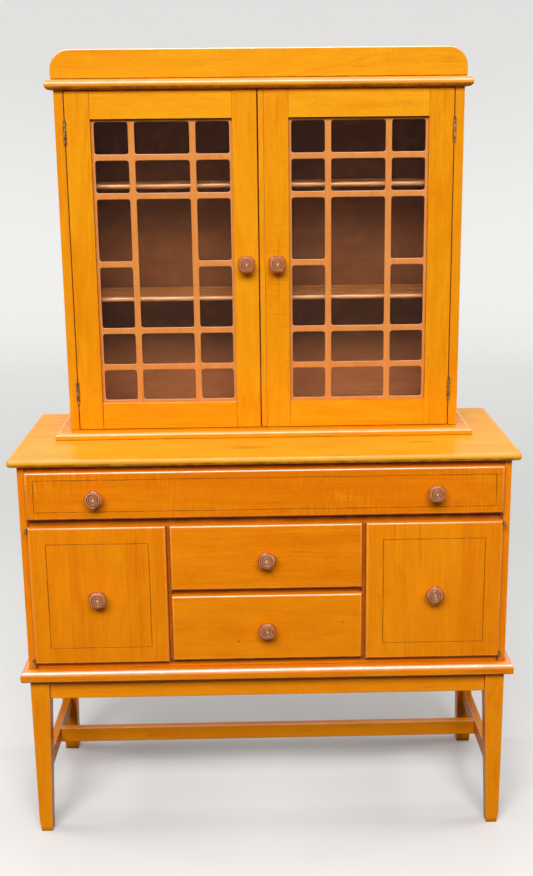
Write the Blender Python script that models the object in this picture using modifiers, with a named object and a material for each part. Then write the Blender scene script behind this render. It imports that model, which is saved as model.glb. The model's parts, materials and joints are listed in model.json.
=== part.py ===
"""A two-piece maple hutch: a glazed china top on a buffet base that stands on a leg frame.

Metres, +Z up. The origin is on the floor under the middle of the bounding box, and the front faces -Y.
"""

import math

import bmesh
import bpy
from mathutils import Matrix, Vector

# Clearances
SEAT = 0.0003  # between faces that touch
SLIDE_GAP = 0.0015  # each side of a drawer box
MORTISE_GAP = 0.0003  # round a leaf or tang let into wood

# Counter
COUNTER_WIDTH = 1.100
COUNTER_DEPTH = 0.440
COUNTER_TOP = 0.893
COUNTER_THICK = 0.018
COUNTER_OVERHANG = 0.018
COUNTER_REAR_OVERHANG = 0.012

# Base case
BASE_SIDE_THICK = 0.020
BASE_BACK_THICK = 0.008
BASE_BOTTOM_THICK = 0.022
PARTITION_THICK = 0.018
RAIL_THICK = 0.020
RAIL_DEPTH = 0.024
CENTRE_WEB_THICK = 0.018

# Fronts of the base, which lie over the case's front edges
FRONT_THICK = 0.0145
FRONT_LIFT = 0.0005
FRONT_ROUND = 0.005
SIDE_MARGIN = 0.017
TOP_MARGIN = 0.011
LONG_FRONT_HEIGHT = 0.107
RAIL_REVEAL = 0.017
DOOR_MARGIN = 0.0165  # over the waist
DRAWER_MARGIN = 0.020
DOOR_WIDTH = 0.298
DOOR_REVEAL = 0.008
UPPER_DRAWER_HEIGHT = 0.1485
DRAWER_REVEAL = 0.013
DRAWER_GROOVE_INSET = 0.018
DOOR_GROOVE_INSET = 0.038
GROOVE_WIDTH = 0.0026

# Drawer boxes
BOX_SIDE = 0.012
BOX_BOTTOM = 0.006
BOX_BACK_ROOM = 0.0272
BOX_HEADROOM = 0.008

# Waist moulding, the moulded board between the case and the leg frame
WAIST_TOP = 0.4065
WAIST_THICK = 0.027
WAIST_OVERHANG = 0.0175
WAIST_NOSE = 0.0125
WAIST_UNDER_ROUND = 0.004

# Leg frame
LEG_SIZE = 0.042
FOOT_SIZE = 0.030
REAR_FOOT_WIDTH = 0.035
FOOT_CHAMFER = 0.005
REAR_FOOT_CHAMFER = 0.002
FOOT_CHAMFER_HEIGHT = 0.027
APRON_HEIGHT = 0.050
APRON_THICK = 0.019
APRON_SETBACK = 0.008
STRETCHER_TOP = 0.1553
STRETCHER_HEIGHT = 0.036
STRETCHER_WIDTH = 0.0185
STRETCHER_INSET = 0.0065

# Upper case
UPPER_WIDTH = 0.880
UPPER_SETBACK = 0.196
UPPER_SIDE_THICK = 0.020
UPPER_SIDE_HEIGHT = 0.745
UPPER_BACK_THICK = 0.008
PLINTH_THICK = 0.016
PLINTH_OVERHANG = 0.031
PLINTH_NOSE = 0.009
CORNICE_THICK = 0.022
CORNICE_OVERHANG = 0.017
GALLERY_HEIGHT = 0.0605
GALLERY_THICK = 0.018
GALLERY_INSET = 0.0125
GALLERY_CORNER = 0.042
SHELF_THICK = 0.0112
SHELF_SETBACK = 0.054
SHELF_HEIGHTS = (0.2950, 0.5460)  # tops above the plinth

# Glazed doors
GLAZED_THICK = 0.019
GLAZED_SIDE_GAP = 0.0018
GLAZED_END_GAP = 0.0015
MEETING_GAP = 0.0027
ASTRAGAL_WIDTH = 0.0116
STILE_WIDTH = 0.0535
TOP_RAIL_WIDTH = 0.0590
BOTTOM_RAIL_WIDTH = 0.0600
REBATE_WIDTH = 0.008
GRILLE_RECESS = 0.008
GRILLE_THICK = 0.006
GLASS_THICK = 0.003
PANE_FIT = 0.0003

# Fretwork grille
GRILLE_BORDER = 0.006  # shown inside the frame
UPRIGHT_OFFSET = 0.066
UPRIGHT_WIDTH = 0.0134
BAR_WIDTH = 0.0130
OUTER_BAR_OFFSET = 0.2308
INNER_BAR_OFFSET = 0.1483
PANE_CORNER = 0.0055
PANE_CORNER_STEPS = 3

# Butt hinges of the glazed doors
BARREL_RADIUS = 0.0032
BARREL_LENGTH = 0.044
BALL_RADIUS = 0.0026
BALL_NECK = 0.0016
LEAF_THICK = 0.0012
LEAF_LET_IN = 0.0010
LEAF_DEPTH = 0.016
HINGE_INSET = 0.086  # its middle from the door's end

# Pivot hinges of the base's doors
KNUCKLE_RADIUS = 0.0032
KNUCKLE_LENGTH = 0.0105
PIVOT_PROUD = 0.0035
PIVOT_OUT = 0.0017
ARM_THICK = 0.0020
ARM_HEIGHT = 0.008
TANG_DEPTH = 0.010
PIVOT_INSET = 0.0065

# Knobs
KNOB_WIDTH = 0.0375  # across the flats
KNOB_BLUNT_CORNER = 0.0207  # radius at a corner
KNOB_KEEN_CORNER = 0.0224
KNOB_LENGTH = 0.0285
KNOB_HEAD = 0.0120  # from the underside's rim to the crown
KNOB_CROWN = 0.0022  # the ringed face's rise
KNOB_FOOT_RADIUS = 0.0075
KNOB_FOOT_HEIGHT = 0.0045
KNOB_NECK_RADIUS = 0.0062
KNOB_FLARE = 0.0070  # height of the slope from neck to rim
KNOB_EASE = 0.0012
KNOB_RIM = 0.0045  # outside the outer ring
KNOB_BUTTON = 0.0047
KNOB_RINGS = 3
RING_DEPTH = 0.0011
KNOB_SIDES = 24

# Places that follow from the sizes
FRONT_FACE_SETBACK = COUNTER_OVERHANG - FRONT_LIFT - FRONT_THICK
KNOB_REACH = KNOB_LENGTH + SEAT - FRONT_FACE_SETBACK
COUNTER_FRONT = -(COUNTER_DEPTH - KNOB_REACH) / 2
COUNTER_BACK = COUNTER_FRONT + COUNTER_DEPTH
CASE_FRONT = COUNTER_FRONT + COUNTER_OVERHANG
CASE_BACK = COUNTER_BACK - COUNTER_REAR_OVERHANG
CASE_HALF = COUNTER_WIDTH / 2 - COUNTER_OVERHANG
BAY_HALF = CASE_HALF - BASE_SIDE_THICK
BASE_PANEL_FRONT = CASE_BACK - BASE_BACK_THICK
CASE_LOW = WAIST_TOP + SEAT
CASE_HIGH = COUNTER_TOP - COUNTER_THICK - SEAT
FACE = COUNTER_FRONT + FRONT_FACE_SETBACK

LONG_FRONT_HIGH = COUNTER_TOP - COUNTER_THICK - TOP_MARGIN
LONG_FRONT_LOW = LONG_FRONT_HIGH - LONG_FRONT_HEIGHT
DOOR_HIGH = LONG_FRONT_LOW - RAIL_REVEAL
DOOR_LOW = WAIST_TOP + DOOR_MARGIN
LOWER_DRAWER_LOW = WAIST_TOP + DRAWER_MARGIN
FRONTS_HALF = CASE_HALF - SIDE_MARGIN
DOOR_INNER = FRONTS_HALF - DOOR_WIDTH
CENTRE_HALF = DOOR_INNER - DOOR_REVEAL
UPPER_DRAWER_LOW = DOOR_HIGH - UPPER_DRAWER_HEIGHT
LOWER_DRAWER_HIGH = UPPER_DRAWER_LOW - DRAWER_REVEAL

RAIL_MIDDLE = (LONG_FRONT_LOW + DOOR_HIGH) / 2
RAIL_LOW = RAIL_MIDDLE - RAIL_THICK / 2
RAIL_HIGH = RAIL_MIDDLE + RAIL_THICK / 2
TOP_RAIL_LOW = LONG_FRONT_HIGH - (RAIL_THICK - RAIL_REVEAL)
BOTTOM_HIGH = CASE_LOW + BASE_BOTTOM_THICK
WEB_MIDDLE = (UPPER_DRAWER_LOW + LOWER_DRAWER_HIGH) / 2
WEB_LOW = WEB_MIDDLE - CENTRE_WEB_THICK / 2
WEB_HIGH = WEB_MIDDLE + CENTRE_WEB_THICK / 2
PARTITION_MIDDLE = (DOOR_INNER + CENTRE_HALF) / 2
PARTITION_INNER = PARTITION_MIDDLE - PARTITION_THICK / 2
PARTITION_OUTER = PARTITION_MIDDLE + PARTITION_THICK / 2

LEG_TOP = WAIST_TOP - WAIST_THICK - SEAT
APRON_LOW = WAIST_TOP - WAIST_THICK - APRON_HEIGHT

UPPER_HALF = UPPER_WIDTH / 2
UPPER_FRONT = COUNTER_FRONT + UPPER_SETBACK
UPPER_BACK = COUNTER_BACK
UPPER_BAY_HALF = UPPER_HALF - UPPER_SIDE_THICK
UPPER_PANEL_FRONT = UPPER_BACK - UPPER_BACK_THICK
PLINTH_LOW = COUNTER_TOP + SEAT
PLINTH_HIGH = PLINTH_LOW + PLINTH_THICK
UPPER_SIDE_LOW = PLINTH_HIGH + SEAT
UPPER_SIDE_HIGH = UPPER_SIDE_LOW + UPPER_SIDE_HEIGHT
CORNICE_LOW = UPPER_SIDE_HIGH + SEAT
CORNICE_HIGH = CORNICE_LOW + CORNICE_THICK
GALLERY_LOW = CORNICE_HIGH + SEAT

GLAZED_LOW = PLINTH_HIGH + GLAZED_END_GAP
GLAZED_HIGH = CORNICE_LOW - GLAZED_END_GAP
GLAZED_OUTER = UPPER_BAY_HALF - GLAZED_SIDE_GAP
GLAZED_INNER = (MEETING_GAP + ASTRAGAL_WIDTH + SEAT) / 2
GLAZED_BACK = UPPER_FRONT + GLAZED_THICK
GRILLE_FRONT = UPPER_FRONT + GRILLE_RECESS
GLASS_FRONT = GRILLE_FRONT + GRILLE_THICK + SEAT
LIGHT_LOW = GLAZED_LOW + BOTTOM_RAIL_WIDTH
LIGHT_HIGH = GLAZED_HIGH - TOP_RAIL_WIDTH
LIGHT_OUTER = GLAZED_OUTER - STILE_WIDTH
LIGHT_INNER = GLAZED_INNER + STILE_WIDTH
LIGHT_MIDDLE = (LIGHT_OUTER + LIGHT_INNER) / 2
LIGHT_HALF_WIDTH = (LIGHT_OUTER - LIGHT_INNER) / 2
LIGHT_MIDDLE_Z = (LIGHT_LOW + LIGHT_HIGH) / 2
LIGHT_HALF_HEIGHT = (LIGHT_HIGH - LIGHT_LOW) / 2

BUTT_AXIS_X = UPPER_BAY_HALF - GLAZED_SIDE_GAP / 2
BUTT_AXIS_Y = UPPER_FRONT - BARREL_RADIUS - SEAT
PIVOT_AXIS_X = FRONTS_HALF + PIVOT_OUT
PIVOT_AXIS_Y = FACE - PIVOT_PROUD

# Each knob was shaved by hand. For each: its turn on its stem in degrees, and its one keen corner, counted
# anticlockwise from the upper right one before that turn, if it has one.
KNOB_SHAPES = {
    "upper_left_door_knob": (0, None),
    "upper_right_door_knob": (3, 1),
    "long_drawer_knob_left": (36, 2),
    "long_drawer_knob_right": (0, None),
    "lower_left_door_knob": (8, 1),
    "lower_right_door_knob": (37, 2),
    "centre_drawer_upper_knob": (-22, 0),
    "centre_drawer_lower_knob": (0, None),
}

# Colour as seen in sRGB, roughness, metallic
FINISHES = {
    "maple": ((0.90, 0.56, 0.16), 0.32, 0.0),
    "top maple": ((0.93, 0.64, 0.27), 0.28, 0.0),
    "inside maple": ((0.62, 0.38, 0.16), 0.55, 0.0),
    "fretwork": ((0.86, 0.58, 0.35), 0.42, 0.0),
    "knob wood": ((0.66, 0.36, 0.20), 0.30, 0.0),
    "antique brass": ((0.30, 0.25, 0.19), 0.38, 1.0),
    "glass": ((0.90, 0.94, 0.93), 0.04, 0.0),
}


def clear_scene():
    for obj in list(bpy.data.objects):
        bpy.data.objects.remove(obj, do_unlink=True)


def collection(name, rendered=True):
    made = bpy.data.collections.new(name)
    made.hide_render = not rendered
    bpy.context.scene.collection.children.link(made)
    return made


def linear(colour):
    """An sRGB colour as the shader's linear values."""
    return [c / 12.92 if c <= 0.04045 else ((c + 0.055) / 1.055) ** 2.4 for c in colour]


def give_finish(obj, finish):
    colour, roughness, metallic = FINISHES[finish]
    material = bpy.data.materials.new(f"{obj.name} {finish}")
    material.use_nodes = True
    shader = material.node_tree.nodes["Principled BSDF"]
    shader.inputs["Base Color"].default_value = (*linear(colour), 1.0)
    shader.inputs["Roughness"].default_value = roughness
    shader.inputs["Metallic"].default_value = metallic
    if finish == "glass":
        shader.inputs["Transmission Weight"].default_value = 1.0
    material.diffuse_color = (*colour, 0.35 if finish == "glass" else 1.0)
    obj.data.materials.clear()
    obj.data.materials.append(material)


def place(obj, where, parent=None):
    """Links the object at a world position, under its parent where it has one."""
    PARTS.objects.link(obj)
    obj.parent = parent
    obj.location = Vector(where) - (parent.location if parent else Vector())
    return obj


def add_piece(name, bm, where, finish, parent=None):
    """A node from a bmesh that is built round its own middle."""
    bmesh.ops.recalc_face_normals(bm, faces=bm.faces)
    mesh = bpy.data.meshes.new(name)
    bm.to_mesh(mesh)
    bm.free()
    obj = bpy.data.objects.new(name, mesh)
    give_finish(obj, finish)
    return place(obj, where, parent)


def add_pivot(name, where):
    """An empty on a joint's axis, which carries what moves there."""
    empty = bpy.data.objects.new(name, None)
    empty.empty_display_size = 0.05
    return place(empty, where)


def box(size):
    bm = bmesh.new()
    bmesh.ops.create_cube(bm, size=1.0)
    bmesh.ops.scale(bm, vec=size, verts=bm.verts)
    return bm


def edge_beside(bm, signs):
    """The box edge on these sides of the middle; the axis that it runs along has sign 0."""
    for edge in bm.edges:
        middle = (edge.verts[0].co + edge.verts[1].co) / 2
        if all((m > 1e-7) - (m < -1e-7) == sign for m, sign in zip(middle, signs)):
            return edge
    raise ValueError(f"no edge beside {signs}")


def round_edges(bm, sides, radius, segments):
    edges = [edge_beside(bm, signs) for signs in sides]
    bmesh.ops.bevel(
        bm, geom=edges, offset=radius, segments=segments, affect="EDGES", profile=0.5, clamp_overlap=True
    )


def soften(obj, width, segments=1):
    modifier = obj.modifiers.new("softened edges", "BEVEL")
    modifier.width = width
    modifier.segments = segments
    modifier.limit_method = "ANGLE"
    modifier.angle_limit = math.radians(40)


def board(name, low, high, finish="maple", parent=None, soft=0.0, rounds=()):
    """A board between two corners. rounds lists (sides, radius, segments), and soft eases its other edges."""
    low = Vector(low)
    high = Vector(high)
    bm = box(high - low)
    for sides, radius, segments in rounds:
        round_edges(bm, sides, radius, segments)
    obj = add_piece(name, bm, (low + high) / 2, finish, parent)
    if soft:
        soften(obj, soft)
    return obj


def helper(name, mesh, where):
    """A cutter, or a shape that is joined to a piece: it isn't a part of its own."""
    obj = bpy.data.objects.new(name, mesh)
    obj.location = where
    obj.display_type = "WIRE"
    obj.hide_render = True
    CUTTERS.objects.link(obj)
    return obj


def box_helper(name, low, high):
    low = Vector(low)
    high = Vector(high)
    bm = box(high - low)
    mesh = bpy.data.meshes.new(name)
    bm.to_mesh(mesh)
    bm.free()
    return helper(name, mesh, (low + high) / 2)


def combine(obj, other, operation):
    modifier = obj.modifiers.new(f"{operation.lower()} {other.name}", "BOOLEAN")
    modifier.operation = operation
    modifier.solver = "EXACT"
    modifier.object = other
    return modifier


def outline_curve(name, outlines, thick):
    """A filled flat curve with one closed straight-sided spline for each outline, in X and Y."""
    curve = bpy.data.curves.new(name, "CURVE")
    curve.dimensions = "2D"
    curve.fill_mode = "BOTH"
    curve.extrude = thick / 2
    for outline in outlines:
        spline = curve.splines.new("POLY")
        spline.points.add(len(outline) - 1)
        for point, (x, y) in zip(spline.points, outline):
            point.co = (x, y, 0.0, 1.0)
        spline.use_cyclic_u = True
    return curve


def add_outline_piece(name, outlines, thick, where, finish, parent=None):
    """A piece cut from a board that stands upright, its outlines drawn in X and Z."""
    obj = bpy.data.objects.new(name, outline_curve(name, outlines, thick))
    obj.rotation_euler = (math.pi / 2, 0.0, 0.0)
    give_finish(obj, finish)
    return place(obj, where, parent)


def rectangle(x0, x1, z0, z1):
    return [(x0, z0), (x1, z0), (x1, z1), (x0, z1)]


def rounded_rectangle(x0, x1, z0, z1, radius, steps):
    centres = (
        (x1 - radius, z1 - radius, 0),
        (x0 + radius, z1 - radius, 1),
        (x0 + radius, z0 + radius, 2),
        (x1 - radius, z0 + radius, 3),
    )
    points = []
    for x, z, quarter in centres:
        for step in range(steps + 1):
            angle = (quarter + step / steps) * math.pi / 2
            points.append((x + radius * math.cos(angle), z + radius * math.sin(angle)))
    return points


def groove_cutter(name, half_width, half_height, where):
    """A square ring of wire, set just in front of a face, that leaves a scribed V groove in it."""
    corners = rectangle(-half_width, half_width, -half_height, half_height)
    curve = outline_curve(name, [corners], 0.0)
    curve.dimensions = "3D"
    curve.fill_mode = "FULL"
    curve.bevel_depth = GROOVE_WIDTH / 2
    curve.bevel_resolution = 0
    guide = bpy.data.objects.new(name, curve)
    guide.rotation_euler = (math.pi / 2, 0.0, 0.0)
    guide.location = where
    CUTTERS.objects.link(guide)
    bpy.context.view_layer.update()
    evaluated = guide.evaluated_get(bpy.context.evaluated_depsgraph_get())
    mesh = bpy.data.meshes.new_from_object(evaluated)
    bm = bmesh.new()
    bm.from_mesh(mesh)
    bmesh.ops.remove_doubles(bm, verts=bm.verts, dist=1e-6)
    bmesh.ops.recalc_face_normals(bm, faces=bm.faces)
    bm.to_mesh(mesh)
    bm.free()
    cutter = helper(f"{name} cutter", mesh, guide.location)
    cutter.matrix_world = guide.matrix_world
    bpy.data.objects.remove(guide)
    return cutter


def nose(front, top, under):
    """Rounds for a board with a moulded front and ends: the radius above and the one below."""
    above = [(0, -1, 1), (-1, 0, 1), (1, 0, 1)] if front else []
    below = [(0, -1, -1), (-1, 0, -1), (1, 0, -1)]
    return [(above, top, 4), (below, under, 2)]


def leg(name, side, end):
    """A square leg whose two inner faces taper below the apron, with an eased outer toe.

    side is -1 on the left and 1 on the right, end is -1 at the front and 1 at the rear. The rear
    legs keep more of their width at the floor.
    """
    foot_width, chamfer = (FOOT_SIZE, FOOT_CHAMFER) if end < 0 else (REAR_FOOT_WIDTH, REAR_FOOT_CHAMFER)
    bm = box((LEG_SIZE, LEG_SIZE, LEG_TOP))
    for height in (APRON_LOW, FOOT_CHAMFER_HEIGHT):
        geometry = bm.verts[:] + bm.edges[:] + bm.faces[:]
        plane = Vector((0, 0, height - LEG_TOP / 2))
        bmesh.ops.bisect_plane(bm, geom=geometry, dist=1e-6, plane_co=plane, plane_no=(0, 0, 1))
    outer = Vector((side, end)) * LEG_SIZE / 2
    for vert in bm.verts:
        height = vert.co.z + LEG_TOP / 2
        drop = max(0.0, 1 - height / APRON_LOW)
        for axis, foot in enumerate((foot_width, FOOT_SIZE)):
            size = LEG_SIZE + (foot - LEG_SIZE) * drop
            from_outer = vert.co[axis] - outer[axis]
            vert.co[axis] = outer[axis] + from_outer * size / LEG_SIZE
        if height < 1e-6 and abs(vert.co.x - outer.x) < 1e-6:
            vert.co.x -= side * chamfer
    x = side * (CASE_HALF - LEG_SIZE / 2)
    y = CASE_FRONT + LEG_SIZE / 2 if end < 0 else CASE_BACK - LEG_SIZE / 2
    obj = add_piece(name, bm, (x, y, LEG_TOP / 2), "maple")
    soften(obj, 0.0012)


def leg_size_at(height):
    """How deep a leg is from front to back at this height."""
    return LEG_SIZE + (FOOT_SIZE - LEG_SIZE) * max(0.0, 1 - height / APRON_LOW)


def side_stretcher(name, side):
    """Runs from leg to leg, its ends cut to the slope of the legs' inner faces."""
    low = STRETCHER_TOP - STRETCHER_HEIGHT
    bm = box((STRETCHER_WIDTH, 1.0, STRETCHER_HEIGHT))
    middle_y = (CASE_FRONT + CASE_BACK) / 2
    half_depth = (CASE_BACK - CASE_FRONT) / 2
    for vert in bm.verts:
        height = STRETCHER_TOP if vert.co.z > 0 else low
        reach = half_depth - leg_size_at(height) - SEAT
        vert.co.y = math.copysign(reach, vert.co.y)
    x = side * (CASE_HALF - STRETCHER_INSET - STRETCHER_WIDTH / 2)
    obj = add_piece(name, bm, (x, middle_y, STRETCHER_TOP - STRETCHER_HEIGHT / 2), "maple")
    soften(obj, 0.0015)


def make_leg_frame():
    for side, hand in ((-1, "left"), (1, "right")):
        for end, place_name in ((-1, "front"), (1, "rear")):
            leg(f"leg_{place_name}_{hand}", side, end)
        side_stretcher(f"side_stretcher_{hand}", side)
        outer = side * (CASE_HALF - APRON_SETBACK)
        inner = outer - side * APRON_THICK
        reach = CASE_FRONT + LEG_SIZE + SEAT
        board(
            f"apron_{hand}",
            (min(outer, inner), reach, APRON_LOW),
            (max(outer, inner), CASE_BACK - LEG_SIZE - SEAT, LEG_TOP),
            soft=0.001,
        )
    half = CASE_HALF - LEG_SIZE - SEAT
    front = CASE_FRONT + APRON_SETBACK
    rear = CASE_BACK - APRON_SETBACK
    board("apron_front", (-half, front, APRON_LOW), (half, front + APRON_THICK, LEG_TOP), soft=0.001)
    board("apron_rear", (-half, rear - APRON_THICK, APRON_LOW), (half, rear, LEG_TOP), soft=0.001)
    reach = CASE_HALF - STRETCHER_INSET - STRETCHER_WIDTH - SEAT
    middle_y = (CASE_FRONT + CASE_BACK) / 2
    board(
        "long_stretcher",
        (-reach, middle_y - STRETCHER_WIDTH / 2, STRETCHER_TOP - STRETCHER_HEIGHT),
        (reach, middle_y + STRETCHER_WIDTH / 2, STRETCHER_TOP),
        soft=0.0015,
    )


def base_side(name, side):
    """A side of the base, with a mortise in its front edge for each pivot hinge's tang."""
    outer = side * CASE_HALF
    inner = side * BAY_HALF
    obj = board(
        name,
        (min(outer, inner), CASE_FRONT, CASE_LOW),
        (max(outer, inner), CASE_BACK, CASE_HIGH),
        rounds=[([(side, -1, 0)], 0.0015, 2)],
    )
    for label, middle in pivot_heights():
        arm_outer = PIVOT_AXIS_X + ARM_THICK / 2
        arm_inner = PIVOT_AXIS_X - ARM_THICK / 2
        ends = (side * (arm_outer + MORTISE_GAP), side * (arm_inner - MORTISE_GAP))
        half = ARM_HEIGHT / 2 + MORTISE_GAP
        cutter = box_helper(
            f"{name} {label} mortise",
            (min(ends), CASE_FRONT - 0.01, middle - half),
            (max(ends), CASE_FRONT + TANG_DEPTH + MORTISE_GAP, middle + half),
        )
        combine(obj, cutter, "DIFFERENCE")


def pivot_heights():
    return (("top", DOOR_HIGH - PIVOT_INSET), ("bottom", DOOR_LOW + PIVOT_INSET))


def make_base_case():
    board(
        "waist_moulding",
        (-CASE_HALF - WAIST_OVERHANG, CASE_FRONT - WAIST_OVERHANG, WAIST_TOP - WAIST_THICK),
        (CASE_HALF + WAIST_OVERHANG, CASE_BACK, WAIST_TOP),
        rounds=nose(True, WAIST_NOSE, WAIST_UNDER_ROUND),
    )
    base_side("base_side_left", -1)
    base_side("base_side_right", 1)
    inside = BAY_HALF - SEAT
    board("base_back", (-inside, BASE_PANEL_FRONT, CASE_LOW), (inside, CASE_BACK, CASE_HIGH), "inside maple")
    back = BASE_PANEL_FRONT - SEAT
    board("base_bottom", (-inside, CASE_FRONT, CASE_LOW), (inside, back, BOTTOM_HIGH), soft=0.0008)
    board("drawer_web", (-inside, CASE_FRONT, RAIL_LOW), (inside, back, RAIL_HIGH), soft=0.0008)
    board(
        "base_top_rail",
        (-inside, CASE_FRONT, TOP_RAIL_LOW),
        (inside, CASE_FRONT + RAIL_DEPTH, CASE_HIGH),
        soft=0.0008,
    )
    bay_low = BOTTOM_HIGH + SEAT
    bay_high = RAIL_LOW - SEAT
    letter_h = [
        (-PARTITION_OUTER, bay_low),
        (-PARTITION_INNER, bay_low),
        (-PARTITION_INNER, WEB_LOW),
        (PARTITION_INNER, WEB_LOW),
        (PARTITION_INNER, bay_low),
        (PARTITION_OUTER, bay_low),
        (PARTITION_OUTER, bay_high),
        (PARTITION_INNER, bay_high),
        (PARTITION_INNER, WEB_HIGH),
        (-PARTITION_INNER, WEB_HIGH),
        (-PARTITION_INNER, bay_high),
        (-PARTITION_OUTER, bay_high),
    ]
    depth = back - CASE_FRONT
    add_outline_piece("centre_bay", [letter_h], depth, (0, CASE_FRONT + depth / 2, 0), "maple")
    edges = [(0, -1, 1), (-1, 0, 1), (1, 0, 1), (0, -1, -1), (-1, 0, -1), (1, 0, -1)]
    board(
        "countertop",
        (-COUNTER_WIDTH / 2, COUNTER_FRONT, COUNTER_TOP - COUNTER_THICK),
        (COUNTER_WIDTH / 2, COUNTER_BACK, COUNTER_TOP),
        "top maple",
        rounds=[(edges, COUNTER_THICK * 0.48, 4)],
    )


def slab_front(name, low, high, parent, groove_inset=0.0):
    """A solid door or drawer front with rounded front edges, and a scribed line where it has one."""
    x0, z0 = low
    x1, z1 = high
    edges = [(0, -1, 1), (0, -1, -1), (-1, -1, 0), (1, -1, 0)]
    obj = board(
        name,
        (x0, FACE, z0),
        (x1, FACE + FRONT_THICK, z1),
        parent=parent,
        rounds=[(edges, FRONT_ROUND, 3)],
    )
    if groove_inset:
        where = ((x0 + x1) / 2, FACE - 0.0002, (z0 + z1) / 2)
        half_width = (x1 - x0) / 2 - groove_inset
        half_height = (z1 - z0) / 2 - groove_inset
        combine(obj, groove_cutter(f"{name} groove", half_width, half_height, where), "DIFFERENCE")
    return obj


def drawer(name, front, opening, knobs_at, groove_inset=0.0):
    """A drawer: its front, its dovetailed box as one tray, and its knobs, all on one sliding parent."""
    x0, x1, z0, z1 = front
    left, right, low, high = opening
    middle_z = (z0 + z1) / 2
    slide = add_pivot(f"{name}_slide", ((x0 + x1) / 2, FACE, middle_z))
    slab_front(f"{name}_front", (x0, z0), (x1, z1), slide, groove_inset)
    box_front = FACE + FRONT_THICK + SEAT
    box_back = BASE_PANEL_FRONT - BOX_BACK_ROOM
    inner = (left + SLIDE_GAP, right - SLIDE_GAP)
    bottom = low + SEAT
    top = high - BOX_HEADROOM
    tray = board(
        f"{name}_box",
        (inner[0], box_front, bottom),
        (inner[1], box_back, top),
        "inside maple",
        parent=slide,
    )
    hollow = box_helper(
        f"{name} hollow",
        (inner[0] + BOX_SIDE, box_front + BOX_SIDE, bottom + BOX_BOTTOM),
        (inner[1] - BOX_SIDE, box_back - BOX_SIDE, top + 0.01),
    )
    combine(tray, hollow, "DIFFERENCE")
    for knob_name, x in knobs_at:
        add_knob(knob_name, x, FACE, middle_z, slide)


def make_drawers():
    knob_x = (FRONTS_HALF + DOOR_INNER) / 2
    drawer(
        "long_drawer",
        (-FRONTS_HALF, FRONTS_HALF, LONG_FRONT_LOW, LONG_FRONT_HIGH),
        (-BAY_HALF, BAY_HALF, RAIL_HIGH, TOP_RAIL_LOW),
        [("long_drawer_knob_left", -knob_x), ("long_drawer_knob_right", knob_x)],
        DRAWER_GROOVE_INSET,
    )
    bays = (
        ("centre_drawer_upper", UPPER_DRAWER_LOW, DOOR_HIGH, WEB_HIGH, RAIL_LOW),
        ("centre_drawer_lower", LOWER_DRAWER_LOW, LOWER_DRAWER_HIGH, BOTTOM_HIGH, WEB_LOW),
    )
    for name, low, high, bay_low, bay_high in bays:
        drawer(
            name,
            (-CENTRE_HALF, CENTRE_HALF, low, high),
            (-PARTITION_INNER, PARTITION_INNER, bay_low, bay_high),
            [(f"{name}_knob", 0.0)],
        )


def make_base_doors():
    for side, hand in ((-1, "left"), (1, "right")):
        pivot = add_pivot(f"lower_{hand}_door_hinge", (side * PIVOT_AXIS_X, PIVOT_AXIS_Y, DOOR_LOW))
        ends = (side * FRONTS_HALF, side * DOOR_INNER)
        slab_front(
            f"lower_{hand}_door",
            (min(ends), DOOR_LOW),
            (max(ends), DOOR_HIGH),
            pivot,
            DOOR_GROOVE_INSET,
        )
        middle = side * (FRONTS_HALF + DOOR_INNER) / 2
        add_knob(f"lower_{hand}_door_knob", middle, FACE, (DOOR_LOW + DOOR_HIGH) / 2, pivot)
        for label, height in pivot_heights():
            pivot_hinge(f"pivot_hinge_{label}_{hand}", side, height)


def turned(name, profile, steps, where, finish):
    """A round piece from its half profile, (radius, height) pairs from the top down."""
    bm = bmesh.new()
    verts = [bm.verts.new((radius, 0.0, height)) for radius, height in profile]
    for first, second in zip(verts, verts[1:]):
        bm.edges.new((first, second))
    mesh = bpy.data.meshes.new(name)
    bm.to_mesh(mesh)
    bm.free()
    obj = bpy.data.objects.new(name, mesh)
    screw = obj.modifiers.new("turned", "SCREW")
    screw.steps = steps
    screw.render_steps = steps
    screw.use_merge_vertices = True
    screw.merge_threshold = 0.00005
    screw.use_smooth_shade = True
    give_finish(obj, finish)
    return place(obj, where)


def dome(radius, height, steps, upward=True):
    """Profile points over the end of a round bar, from its tip out to its side, or back in."""
    points = []
    for step in range(steps + 1):
        angle = step / steps * math.pi / 2
        points.append((radius * math.sin(angle), height * math.cos(angle)))
    return points if upward else [(r, -h) for r, h in reversed(points)]


def pivot_hinge(name, side, height):
    """A round knuckle at the door's corner, with an arm back to a tang let into the side's edge."""
    straight = KNUCKLE_LENGTH / 2 - KNUCKLE_RADIUS * 0.5
    profile = [(r, h + straight) for r, h in dome(KNUCKLE_RADIUS, KNUCKLE_RADIUS * 0.5, 3)]
    profile += [(r, h - straight) for r, h in dome(KNUCKLE_RADIUS, KNUCKLE_RADIUS * 0.5, 3, False)]
    axis_x = side * PIVOT_AXIS_X
    obj = turned(name, profile, 12, (axis_x, PIVOT_AXIS_Y, height), "antique brass")
    arm = box_helper(
        f"{name} arm",
        (axis_x - ARM_THICK / 2, PIVOT_AXIS_Y, height - ARM_HEIGHT / 2),
        (axis_x + ARM_THICK / 2, CASE_FRONT + TANG_DEPTH, height + ARM_HEIGHT / 2),
    )
    combine(obj, arm, "UNION")


def butt_heights():
    return (("top", GLAZED_HIGH - HINGE_INSET), ("bottom", GLAZED_LOW + HINGE_INSET))


def butt_leaf_span(side):
    """The leaf's two faces in X: let into the side of the case, and a little proud of it."""
    buried = side * (UPPER_BAY_HALF + LEAF_LET_IN)
    return buried, buried - side * LEAF_THICK


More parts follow.
